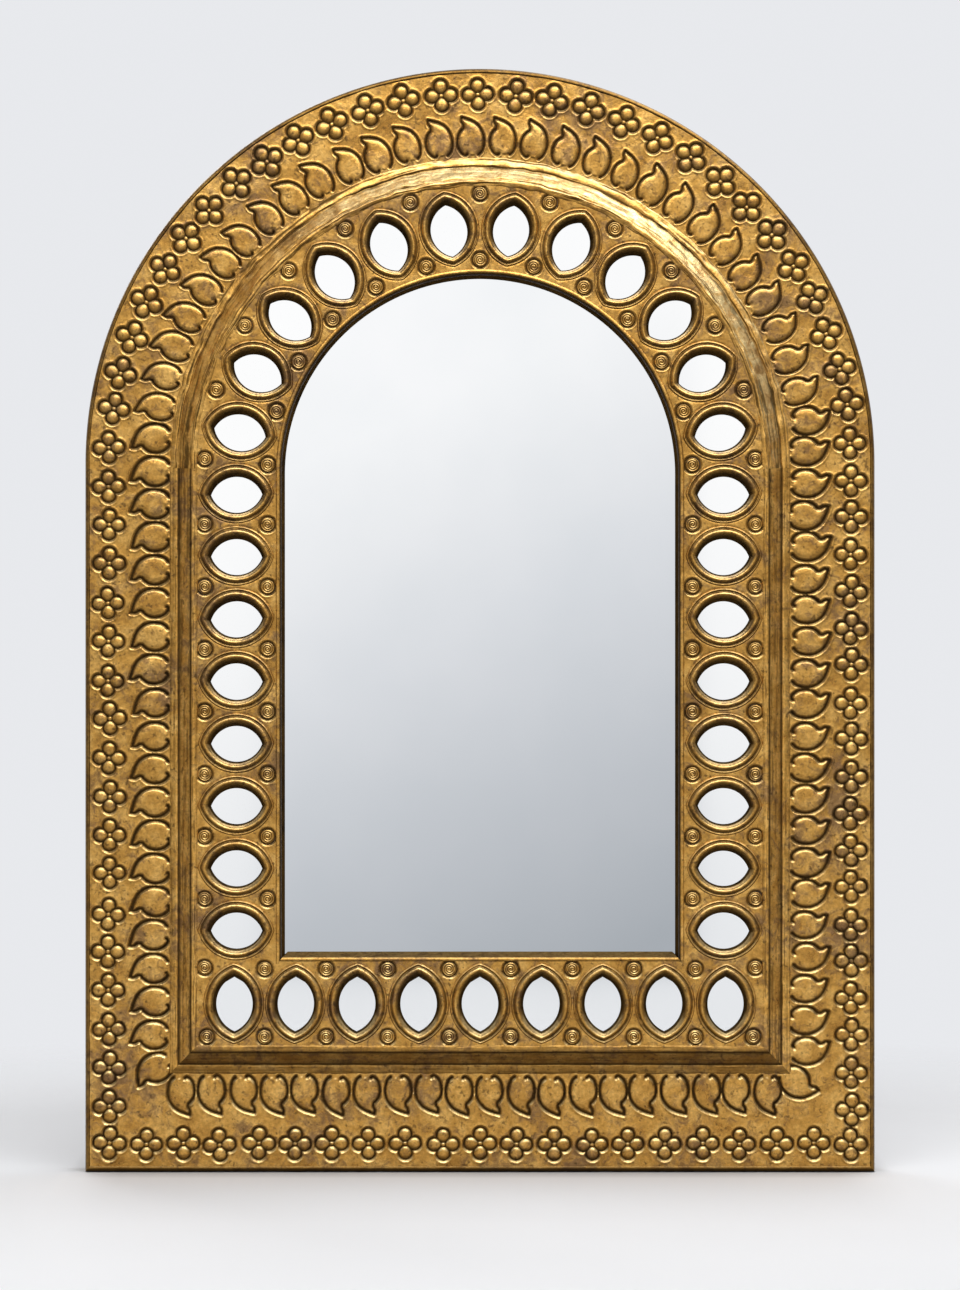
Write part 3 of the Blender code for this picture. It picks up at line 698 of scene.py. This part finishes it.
# Darker copies of the brass for the foot and the outer edge: painted shade
shaded_foot_brass = aged_brass("shaded_foot_brass", 0.68, 1.0, 0.15)
edge_brass = aged_brass("edge_brass", 0.42, 1.0, 0.3)
large_glass = silvered_glass("large_glass", 0.012, 0.02, (0.90, 0.915, 0.93), (0.95, 0.955, 0.965))
inlay_glass = silvered_glass("inlay_glass", 0.03, 0.06, (0.96, 0.965, 0.97), (0.985, 0.988, 0.99))
FRAME_WOOD = (0.150, 0.082, 0.040), (0.29, 0.172, 0.088)
ARCH_GRAIN = math.radians(68)
level_wood = grained_wood("level_wood", 0.0, *FRAME_WOOD)
upright_wood = grained_wood("upright_wood", math.pi / 2, *FRAME_WOOD)
left_arch_wood = grained_wood("left_arch_wood", ARCH_GRAIN, *FRAME_WOOD)
right_arch_wood = grained_wood("right_arch_wood", -ARCH_GRAIN, *FRAME_WOOD)
pale_wood = grained_wood("pale_wood", 0.0, (0.26, 0.165, 0.085), (0.50, 0.35, 0.20))
board_wood = grained_wood("board_wood", 0.0, (0.030, 0.018, 0.010), (0.070, 0.042, 0.022))
back_board = pressed_board("back_board")
plated_steel = zinc_steel("plated_steel")


# The flange: flowers on the outer row, leaves on the inner

flowers, leaves = flower_places(), leaf_places()
bosses, almonds = boss_places(), almond_places()
FLOWER_REACH, LEAF_REACH, BOSS_REACH, ALMOND_REACH = 0.022, 0.024, 0.011, 0.045


def flange_marks(x, z):
    depth = np.zeros(x.shape)
    strike(x, z, depth, flowers, strike_flower, FLOWER_REACH, PLACE_SLIP)
    strike(x, z, depth, leaves[:-ARCH_LEAVES], strike_leaf, LEAF_REACH, PLACE_SLIP)
    strike(x, z, depth, leaves[-ARCH_LEAVES:], strike_fine_leaf, LEAF_REACH, PLACE_SLIP)
    return depth


PITCH = 0.66 * MM
ROW_SPLIT = 0.0352
FLOWER_ROW = np.linspace(2.0 * MM, ROW_SPLIT, 51)
LEAF_ROW = np.linspace(ROW_SPLIT, 73.5 * MM, 59)
# Each row is three sheets, which meet at shares of the left side, the right side and the arch
for word, insets, (left, right, crown) in (("flowers", FLOWER_ROW, (0.460, 0.514, 0.518)),
                                           ("leaves", LEAF_ROW, (0.456, 0.546, 0.524))):
    for side, stretches in (("foot", [("left", left, 1.0), ("base", 0.0, 1.0), ("right", 0.0, right)]),
                            ("right", [("right", right, 1.0), ("arch", 0.0, crown)]),
                            ("left", [("arch", crown, 1.0), ("left", 0.0, left)])):
        chance = np.random.default_rng(21)
        sheet = struck_sheet("flange_%s_%s" % (word, side), stretches, insets, FLANGE_TOP,
                             flange_marks, flange_brass)
        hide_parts("flange_sheet")


# The frieze: a sheet with bosses, open under the almonds, and the rims that frame them

def nearest_almond(x, z):
    """Distance outwards from the edge of the nearest opening, in millimetres."""
    away = np.full(x.shape, FAR)
    for cx, cz, turn, size in almonds:
        radius, offset = almond_arc(size)
        near = (np.abs(x - cx) < ALMOND_REACH) & (np.abs(z - cz) < ALMOND_REACH)
        along, out = turned((x[near] - cx) / MM, (z[near] - cz) / MM, turn)
        away[near] = np.minimum(away[near], np.hypot(out, np.abs(along) + offset) - radius)
    return away


def frieze_marks(x, z):
    """Moats of the bosses, and a groove round each rim."""
    depth = np.zeros(x.shape)
    strike(x, z, depth, bosses, strike_boss, BOSS_REACH, 0.0)
    return depth - ridge(nearest_almond(x, z), 9.3, 0.8, 0.35)


CUT_BACK = 6.8


def open_almonds(sheet):
    """Cut the sheet away under the rims."""
    spots = points_of(sheet)
    gone = nearest_almond(spots[:, 0], spots[:, 2]) < CUT_BACK
    pick_up(sheet)
    bpy.ops.object.mode_set(mode="EDIT")
    bpy.ops.mesh.select_all(action="DESELECT")
    bpy.ops.object.mode_set(mode="OBJECT")
    sheet.data.vertices.foreach_set("select", gone)
    bpy.ops.object.mode_set(mode="EDIT")
    bpy.ops.mesh.delete(type="VERT")
    bpy.ops.object.mode_set(mode="OBJECT")


PLATEAU_ROW = np.linspace(87.5 * MM, 158.4 * MM, 100)
for name, stretches in (("low", [("left", 0.0, 1.0), ("base", 0.0, 1.0)]),
                        ("high", [("right", 0.0, 1.0), ("arch", 0.0, 1.0)])):
    chance = np.random.default_rng(22)
    sheet = struck_sheet("frieze_" + name, stretches, PLATEAU_ROW, PLATEAU, frieze_marks, frieze_brass)
    open_almonds(sheet)
    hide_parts("frieze_sheet")

# Section of an almond rim: (distance out from the opening, rise, hollow)
# The hollow column darkens the throat next to the opening: soot there, with painted shade
RIM = [(-0.1, 4.2, 1.0), (0.15, 5.2, 1.0), (0.5, 6.8, 1.0), (1.0, 8.6, 1.0), (1.6, 10.2, 1.0),
       (2.2, 11.5, 0.85), (2.9, 12.6, 0.48), (3.6, 13.4, 0.16), (4.3, 13.9, 0.0), (4.9, 14.05, 0.0),
       (5.5, 13.9, 0.0), (6.1, 13.4, 0.1), (6.6, 12.7, 0.35), (7.0, 12.0, 0.7), (7.4, 11.7, 0.85),
       (7.8, 11.9, 0.45), (8.2, 12.4, 0.05), (8.6, 12.6, 0.0), (9.0, 12.4, 0.0), (9.4, 11.9, 0.2),
       (9.8, 11.2, 0.45), (10.1, 10.7, 0.7)]
RIM_STEPS = 60
RIM_LIFT, RIM_THROAT, RIM_SHOULDER = 0.62, 1.5, 11
RIM_UNEVEN, RIM_SWELL, RIM_TURN = 0.10, 0.006, 0.012


def almond_rim(number, place):
    """One rim, bent to its section all round and laid over its opening."""
    cx, cz, turn, size = place
    radius, offset = almond_arc(size)
    section = np.array(RIM)
    rim, step, row = blank_sheet("rim_%d" % number, 2 * RIM_STEPS, len(RIM) - 1)
    out, rise, hollow = section[row].T
    side = np.where(step < RIM_STEPS, 1.0, -1.0)
    share = np.where(step < RIM_STEPS, step, step - RIM_STEPS) / RIM_STEPS
    wide = radius + out
    bend = np.arccos(offset / wide) * (2 * share - 1)
    reach = side * wide * np.sin(bend)
    along = side * (wide * np.cos(bend) - offset)
    uneven = RIM_UNEVEN * beaten(reach * MM + cx, along * MM + cz, 0.006, 31)
    swell = 1 + chance.normal(0, RIM_SWELL)
    turn = turn + chance.normal(0, RIM_TURN)
    reach, along = reach * swell * MM, along * swell * MM
    x = cx + reach * math.cos(turn) - along * math.sin(turn)
    z = cz + reach * math.sin(turn) + along * math.cos(turn) - OPENING_DROP * (1 - ease(0.0, 5.0, out))
    # The throat is not painted lighter where it faces up, so its painted shade stays
    lay(rim, x, (rise + uneven * (rise > RIM_SHOULDER)) * MM, z, hollow,
        np.where(out < RIM_THROAT, 0.0, RIM_LIFT))
    return rim


BOSS_STEPS, BOSS_ROWS = 40, 20
BOSS_SHOULDER, BOSS_SKIRT = 0.8, 1.3
COIL_RISE, COIL_DARK = 0.3, 0.75


def coiled_boss(number, place):
    """A small round boss with a line coiled on it."""
    cx, cz = place[:2]
    boss, step, row = blank_sheet("boss_%d" % number, BOSS_STEPS, BOSS_ROWS)
    angle = 2 * math.pi * step / BOSS_STEPS
    reach = BOSS_R * (row / BOSS_ROWS)
    start = chance.uniform(0, 2 * math.pi)
    shoulder = BOSS_R - BOSS_SHOULDER
    coil = np.cos(2 * math.pi * reach / COIL + angle + start)
    on_top = 1 - ease(shoulder - 0.4, shoulder + 0.1, reach)
    crown = COIL_RISE + COIL_RISE * coil * on_top * ease(0.2, 0.8, reach)
    rise = crown - BOSS_SKIRT * ease(shoulder, BOSS_R, reach)
    hollow = np.where(reach < shoulder, ease(0.1, 0.9, -coil) * COIL_DARK,
                      ease(shoulder + 0.1, BOSS_R, reach))
    lay(boss, cx - reach * np.cos(angle) * MM, PLATEAU + rise * MM, cz + reach * np.sin(angle) * MM, hollow)
    return boss


def join_up(parts, name):
    """Make one piece of many, with their seams closed."""
    put_down()
    for part in parts:
        part.select_set(True)
    bpy.context.view_layer.objects.active = parts[0]
    bpy.ops.object.join()
    piece = bpy.context.object
    piece.name = piece.data.name = name
    bpy.ops.object.mode_set(mode="EDIT")
    bpy.ops.mesh.select_all(action="SELECT")
    bpy.ops.mesh.remove_doubles(threshold=BRASS_SEAM)
    bpy.ops.object.mode_set(mode="OBJECT")
    return piece


chance = np.random.default_rng(23)
frieze_rims = join_up([almond_rim(number, place) for number, place in enumerate(almonds)], "frieze_rims")
dress(frieze_rims, frieze_brass, stands_for=["frieze_sheet"])
frieze_bosses = join_up([coiled_boss(number, place) for number, place in enumerate(bosses)], "frieze_bosses")
dress(frieze_bosses, frieze_brass, stands_for=["frieze_sheet"])

# Mouldings, edge roll and sight bead: (inset, rise, hollow) sections
MOULDING = [(68.4, 1.7, 0.9), (68.8, 2.4, 0.5), (69.4, 2.8, 0.15), (70.6, 3.1, 0.0), (72.0, 3.5, 0.0),
            (73.3, 3.9, 0.0), (74.4, 4.1, 0.0), (75.0, 4.0, 0.15), (75.4, 3.7, 0.6), (75.8, 3.45, 0.95),
            (76.4, 3.5, 0.95), (77.0, 4.1, 0.55), (78.0, 4.95, 0.1), (79.6, 6.3, 0.0), (81.0, 7.5, 0.0),
            (82.4, 8.7, 0.0), (83.8, 9.9, 0.0), (84.8, 10.7, 0.05), (85.4, 11.1, 0.5), (85.9, 11.2, 0.95),
            (86.4, 11.4, 0.95), (86.9, 12.1, 0.3), (87.5, 12.55, 0.0), (88.3, 12.7, 0.0),
            (89.4, 12.5, 0.0), (90.4, 12.25, 0.0), (91.2, 11.9, 0.1), (91.8, 11.5, 0.3), (92.3, 10.9, 0.6)]
EDGE_ROLL = [(1.25, -27.0, 0.9), (1.25, -28.0, 0.4), (0.2, -28.0, 0.2), (0.0, -27.6, 0.1),
             (0.0, -24.0, 0.1), (0.0, -16.0, 0.05), (0.0, -8.0, 0.1), (0.0, -2.0, 0.3), (0.15, -0.5, 0.4),
             (0.45, 0.6, 0.35), (0.9, 1.6, 0.2), (1.4, 2.3, 0.1), (2.0, 2.8, 0.0), (2.6, 3.0, 0.0),
             (3.2, 2.95, 0.05), (3.7, 2.65, 0.3), (4.1, 2.1, 0.8), (4.4, 1.5, 0.9)]
# The inner leg of the sight bead is all hollow: a painted shadow along the reveal round the glass
SIGHT_BEAD = [(154.8, 10.9, 1.0), (155.1, 11.5, 0.8), (155.4, 12.1, 0.25), (155.9, 12.5, 0.0),
              (156.6, 12.75, 0.0), (157.3, 12.75, 0.05), (157.9, 12.45, 0.3), (158.3, 12.0, 0.8),
              (158.6, 11.3, 1.0), (159.0, 10.0, 1.0), (159.7, 8.0, 1.0), (160.5, 5.5, 1.0),
              (161.2, 2.8, 1.0), (161.9, 0.35, 1.0)]
MOULDING_PITCH, EDGE_PITCH, BEAD_PITCH = 1.2 * MM, 1.6 * MM, 1.4 * MM
BASE_BEAD_IN = 2.3
BASE_BEAD = [(inset + BASE_BEAD_IN, rise, hollow) for inset, rise, hollow in SIGHT_BEAD]
ROUND = [("right", 0, 1), ("arch", 0, 1), ("left", 0, 1)]
ALONG_BASE = [("base", 0, 1)]
MOULDING_LOOKS = {
    "left": {"finish": moulding_brass, "crinkle": 0.06, "drawn": 1.0},
    "right": {"finish": moulding_brass, "crinkle": 0.06, "drawn": 1.0},
    # The foot bevel takes the darker brass: painted shade
    "base": {"finish": shaded_foot_brass, "crinkle": 0.12, "drawn": 0.6, "shade": 0.24},
    # The arch's rubbed band is turned to the right: partly wear and partly a painted highlight
    "arch": {"finish": arch_brass, "crinkle": 0.42, "drawn": 1.35, "dark": 0.45,
             "rub_and_sheen": (0.12, 0.60), "side_rub_and_sheen": math.radians(24)},
}
for word, looks in MOULDING_LOOKS.items():
    strip = moulded_strip("bevel_" + word, MOULDING, [(word, 0, 1)], MOULDING_PITCH,
                          slot="brass", shake=0.09, **looks)
    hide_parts("moulding_" + word)
# The edge roll takes the darker edge brass: painted shade
for word, stretches in (("sides", ROUND), ("base", ALONG_BASE)):
    strip = moulded_strip("edge_roll_" + word, EDGE_ROLL, stretches, EDGE_PITCH,
                          edge_brass, "edge_brass", shake=0.12)
    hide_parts("edge_strip_" + word)
for word, section, stretches in (("arch", SIGHT_BEAD, ROUND), ("base", BASE_BEAD, ALONG_BASE)):
    strip = moulded_strip("sight_bead_" + word, section, stretches, BEAD_PITCH,
                          moulding_brass, "brass", lift=0.12)
    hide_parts("sight_strip_" + word)


# Screws and hangers on the back

def shape_up(piece):
    """Close the piece's seams and turn its faces outwards."""
    pick_up(piece)
    bpy.ops.object.mode_set(mode="EDIT")
    bpy.ops.mesh.select_all(action="SELECT")
    bpy.ops.mesh.remove_doubles(threshold=STEEL_SEAM)
    bpy.ops.mesh.normals_make_consistent(inside=False)
    bpy.ops.object.mode_set(mode="OBJECT")


def wrap(name, around, along, place):
    """A closed skin: place gives x, y and z for the turn round it and the step along it."""
    skin, step, row = blank_sheet(name, around, along)
    set_points(skin, *place(2 * math.pi * step / around, row))
    shape_up(skin)
    return skin


def slotted_screw(name, profile):
    """A screw turned from (radius, depth) points in millimetres, with a slot sawn across its head."""
    profile = np.array(profile) * MM

    def place(turn, row):
        return profile[row, 0] * np.cos(turn), profile[row, 1], profile[row, 0] * np.sin(turn)

    screw = wrap(name, SCREW_STEPS, len(profile) - 1, place)
    put_down()
    bpy.ops.mesh.primitive_cube_add(size=1.0, location=(0, 0, 0), scale=SLOT)
    saw = bpy.context.object
    bpy.ops.object.transform_apply(location=True, rotation=False, scale=True)
    pick_up(screw)
    cut = screw.modifiers.new("slot", "BOOLEAN")
    cut.operation, cut.object = "DIFFERENCE", saw
    bpy.ops.object.modifier_apply(modifier="slot")
    bpy.data.objects.remove(saw)
    bpy.ops.object.shade_smooth_by_angle(angle=SCREW_CREASE)
    return screw


def drive(screw, node):
    """A copy of the screw where its solid stands, its slot left at any angle."""
    corners = [nodes[node].matrix_world @ Vector(corner) for corner in nodes[node].bound_box]
    x = (min(c.x for c in corners) + max(c.x for c in corners)) / 2
    z = (min(c.z for c in corners) + max(c.z for c in corners)) / 2
    pick_up(screw)
    bpy.ops.object.duplicate(linked=False)
    copy = bpy.context.object
    copy.name = copy.data.name = node + "_slotted"
    copy.rotation_euler = (0.0, chance.uniform(0, math.pi), 0.0)
    copy.location = (x, max(c.y for c in corners), z)
    bpy.ops.object.transform_apply(location=True, rotation=True, scale=False)
    dress(copy, plated_steel, stands_for=[node])


def strap_curl(name, side):
    """A steel strip, round at its foot and curled over at its head."""
    flat, curl, cross = 34, 30, 12
    strap, step, row = blank_sheet(name, cross, flat + curl)
    on_flat = row <= flat
    run = STRAP_FOOT - STRAP_FOOT * np.minimum(row, flat) / flat
    angle = math.pi - CURL_TURN * np.maximum(row - flat, 0) / curl
    back = np.where(on_flat, -CURL_R, CURL_R * np.cos(angle))
    up = np.where(on_flat, run, CURL_R * np.sin(angle))
    near = np.clip((run - STRAP_FOOT) / STRAP_HALF, 0.004, 1.0)
    width = STRAP_HALF * np.where(on_flat, np.sqrt(1 - (1 - near) ** 2), 1.0)
    across = (2 * step / cross - 1) * width
    set_points(strap, side * HANGER_X + across * MM, HANGER_Y + back * MM, HANGER_Z + up * MM)
    shape_up(strap)
    thick = strap.modifiers.new("thickness", "SOLIDIFY")
    thick.thickness, thick.offset = STRAP_THICK * MM, 0.0
    bpy.ops.object.modifier_apply(modifier="thickness")
    edge = strap.modifiers.new("edge", "BEVEL")
    edge.width, edge.segments = 0.25 * MM, 2
    edge.limit_method, edge.angle_limit = "ANGLE", math.radians(50)
    bpy.ops.object.modifier_apply(modifier="edge")
    bpy.ops.object.shade_smooth_by_angle(angle=STRAP_CREASE)
    return strap


def wire_ring(name, side):
    """A ring bent from wire, straight along its top bar."""
    bar = [(x, 0.0) for x in np.linspace(-RING_BAR, RING_BAR, 12)]
    corner = [(RING_BAR + RING_CORNER * math.sin(a), -RING_CORNER + RING_CORNER * math.cos(a))
              for a in np.linspace(0, math.pi / 2, 9)[1:]]
    bow = [(RING_HALF * math.cos(a), -RING_CORNER - RING_DROP * math.sin(a))
           for a in np.linspace(0, math.pi, 41)[1:]]
    home = [(-x, z) for x, z in corner[::-1]][1:]
    line = np.array(bar + corner + bow + home + bar[:1])
    ahead = np.roll(line[:-1], -1, axis=0) - np.roll(line[:-1], 1, axis=0)
    ahead = np.vstack([ahead, ahead[:1]])
    ahead /= np.hypot(ahead[:, 0], ahead[:, 1])[:, None]

    def place(turn, row):
        x = side * HANGER_X + (line[row, 0] - WIRE_R * np.cos(turn) * ahead[row, 1]) * MM
        z = HANGER_Z + (line[row, 1] + WIRE_R * np.cos(turn) * ahead[row, 0]) * MM
        return x, HANGER_Y + WIRE_R * np.sin(turn) * MM, z

    ring = wrap(name, WIRE_STEPS, len(line) - 1, place)
    bpy.ops.object.shade_smooth()
    return ring


chance = np.random.default_rng(24)
SUNK = [(0, 0.0), (3.3, 0.0), (3.7, -0.12), (3.8, -0.3), (2.0, -2.2), (2.0, -12.0), (0.8, -16.0), (0, -16.0)]
ROUND_TOP = [(0, 0.0), (1.2, -0.04), (2.2, -0.25), (3.0, -0.7), (3.5, -1.3), (3.75, -1.9), (3.8, -2.2),
             (2.0, -2.2), (2.0, -16.2), (0.8, -20.2), (0, -20.2)]
sunk_screw = slotted_screw("sunk_screw", SUNK)
round_screw = slotted_screw("round_screw", ROUND_TOP)
for number in range(1, 9):
    drive(sunk_screw, "back_screw_%d" % number)
for word, side in (("left", -1), ("right", 1)):
    for number in (1, 2):
        drive(round_screw, "hanger_screw_%s_%d" % (word, number))
    strap, ring = strap_curl("curled_strap_" + word, side), wire_ring("wire_ring_" + word, side)
    dress(strap, plated_steel, stands_for=["hanger_strap_" + word])
    dress(ring, plated_steel, word + "_ring", ["hanger_ring_" + word])
for pattern in (sunk_screw, round_screw):
    bpy.data.objects.remove(pattern)

# Finishes of the pieces that keep their solids, by the start of their names
KEPT = {
    "mirror_glass": large_glass, "inlay_mirror": inlay_glass, "frieze_board": board_wood,
    "backing_board": back_board, "base_rail": level_wood, "arch_crown": level_wood,
    "left_stile": upright_wood, "right_stile": upright_wood, "arch_left": left_arch_wood,
    "arch_right": right_arch_wood, "tongue": pale_wood, "glass_block": pale_wood,
    "hanger": plated_steel, "back_screw": plated_steel,
}
for name, solid in nodes.items():
    for start, finish in KEPT.items():
        if name.startswith(start):
            for slot in solid.material_slots:
                slot.material = finish


# Stage

def studio_floor():
    """A pale round floor that fades out, with a shadow painted on it in front of where the mirror stands."""
    put_down()
    bpy.ops.mesh.primitive_circle_add(vertices=96, radius=2.2, fill_type="NGON", location=(0, 0, -0.0004))
    floor = bpy.context.object
    floor.name = "studio_floor"
    finish, shader = new_finish("pale_floor")
    where = add_node(finish, "ShaderNodeTexCoord").outputs["Object"]
    speck = clouds(finish, where, 3.0, 2.0, 0.5)
    pale = ramp(finish, speck, [(0.3, (0.86, 0.868, 0.888)), (0.7, (0.88, 0.888, 0.908))])
    split = add_node(finish, "ShaderNodeSeparateXYZ")
    wire(finish, where, split.inputs[0])
    across, ahead = split.outputs[:2]
    # Painted shadow on the floor in front of the mirror's foot, only as wide as the mirror
    wide_shadow = spread(finish, ahead, -0.28, -0.04, 0.0, 0.10)
    near_shadow = spread(finish, ahead, -0.045, -0.012, 0.0, 0.36)
    under = spread(finish, sums(finish, "ABSOLUTE", across), 0.29, 0.335, 1.0, 0.0)
    shadow = sums(finish, "MULTIPLY", sums(finish, "ADD", wide_shadow, near_shadow), under)
    wire(finish, blend_colour(finish, shadow, pale, grey(0.02)), shader.inputs["Base Color"])
    shader.inputs["Roughness"].default_value = 0.8
    shader.inputs["Specular IOR Level"].default_value = 0.15
    reach = add_node(finish, "ShaderNodeVectorMath", operation="LENGTH")
    wire(finish, mapped(finish, where, Location=(0.0, 0.1, 0.0)), reach.inputs[0])
    wire(finish, spread(finish, reach.outputs["Value"], 0.62, 1.15, 1.0, 0.0), shader.inputs["Alpha"])
    floor.data.materials.append(finish)


def studio_light():
    for name, spot, aim, size, power in (
            ("key", (0.15, -1.15, 1.95), (0.0, 0.0, 0.45), (2.0, 1.3), 27.0),
            ("top", (0.68, 0.22, 2.0), (0.0, 0.0, 0.55), (1.7, 0.9), 14.0),
            ("back", (-1.0, 2.0, 1.7), (0.0, 0.0, 0.45), (1.2, 1.2), 16.0)):
        lamp = bpy.data.lights.new(name, "AREA")
        lamp.shape = "RECTANGLE"
        lamp.size, lamp.size_y = size
        lamp.energy = power
        holder = bpy.data.objects.new(name, lamp)
        bpy.context.scene.collection.objects.link(holder)
        holder.location = spot
        holder.rotation_euler = (Vector(aim) - Vector(spot)).to_track_quat("-Z", "Y").to_euler()


# What the large glass shows from the front, from low on the right to high on the left
GLASS_TONES = [(0.0, (0.425, 0.450, 0.480)), (0.23, (0.545, 0.568, 0.600)), (0.53, (0.750, 0.766, 0.792)),
               (0.85, (0.970, 0.974, 0.978)), (1.0, (0.995, 0.997, 1.0))]


def studio_room():
    """Pale wall behind, a graded room in front that the glass shows."""
    room = bpy.data.worlds.new("studio")
    bpy.context.scene.world = room
    room.use_nodes = True
    glow = room.node_tree.nodes["Background"]
    split = add_node(room, "ShaderNodeSeparateXYZ")
    wire(room, add_node(room, "ShaderNodeTexCoord").outputs["Generated"], split.inputs[0])
    across, ahead, up = split.outputs
    side = sums(room, "ABSOLUTE", across)
    panel = sums(room, "MULTIPLY", fade(room, side, 0.32, 0.55, 1.0, 0.0), fade(room, up, -0.32, -0.17))
    dim = blend_colour(room, fade(room, up, -0.5, 0.6), grey(0.24), grey(0.60))
    dim = blend_colour(room, fade(room, up, 0.6, 0.92), dim, grey(0.95))
    bright = blend_colour(room, fade(room, up, -0.12, 0.06), (0.80, 0.815, 0.835), grey(1.0))
    leaning = sums(room, "MULTIPLY_ADD", across, -0.45, up)
    shown = ramp(room, spread(room, leaning, -0.10, 0.10, 0.0, 1.0), GLASS_TONES)
    middle = sums(room, "MULTIPLY", fade(room, side, 0.0535, 0.060, 1.0, 0.0),
                  fade(room, up, -0.0905, -0.0855))
    front = blend_colour(room, middle, blend_colour(room, panel, dim, bright), shown)
    wall = blend_colour(room, fade(room, up, 0.45, 0.85), (0.805, 0.817, 0.845), grey(0.70))
    rays = add_node(room, "ShaderNodeLightPath").outputs
    behind = sums(room, "MAXIMUM", fade(room, ahead, -0.3, 0.3), rays["Is Camera Ray"])
    wire(room, blend_colour(room, behind, front, wall), glow.inputs["Color"])
    seen = sums(room, "MAXIMUM", rays["Is Camera Ray"], rays["Is Glossy Ray"])
    seen = sums(room, "MAXIMUM", seen, rays["Is Transmission Ray"])
    wire(room, fade(room, seen, 0.0, 1.0, 0.35, 1.0), glow.inputs["Strength"])


def set_camera():
    """Level with the middle of the picture, far enough that the sides hardly show."""
    reach, picture_height, eye, sensor = 3.0, 1.0449, 0.4268, 36.0
    lens = bpy.data.cameras.new("camera")
    lens.sensor_fit = "VERTICAL"
    lens.sensor_height = sensor
    lens.lens = sensor * reach / picture_height
    camera = bpy.data.objects.new("camera", lens)
    bpy.context.scene.collection.objects.link(camera)
    camera.location = (0.0, FACE_Y - FLANGE_TOP - reach, eye)
    camera.rotation_euler = (math.pi / 2, 0.0, 0.0)
    bpy.context.scene.camera = camera


studio_floor()
studio_light()
studio_room()
set_camera()
bpy.context.scene.view_settings.view_transform = "Standard"
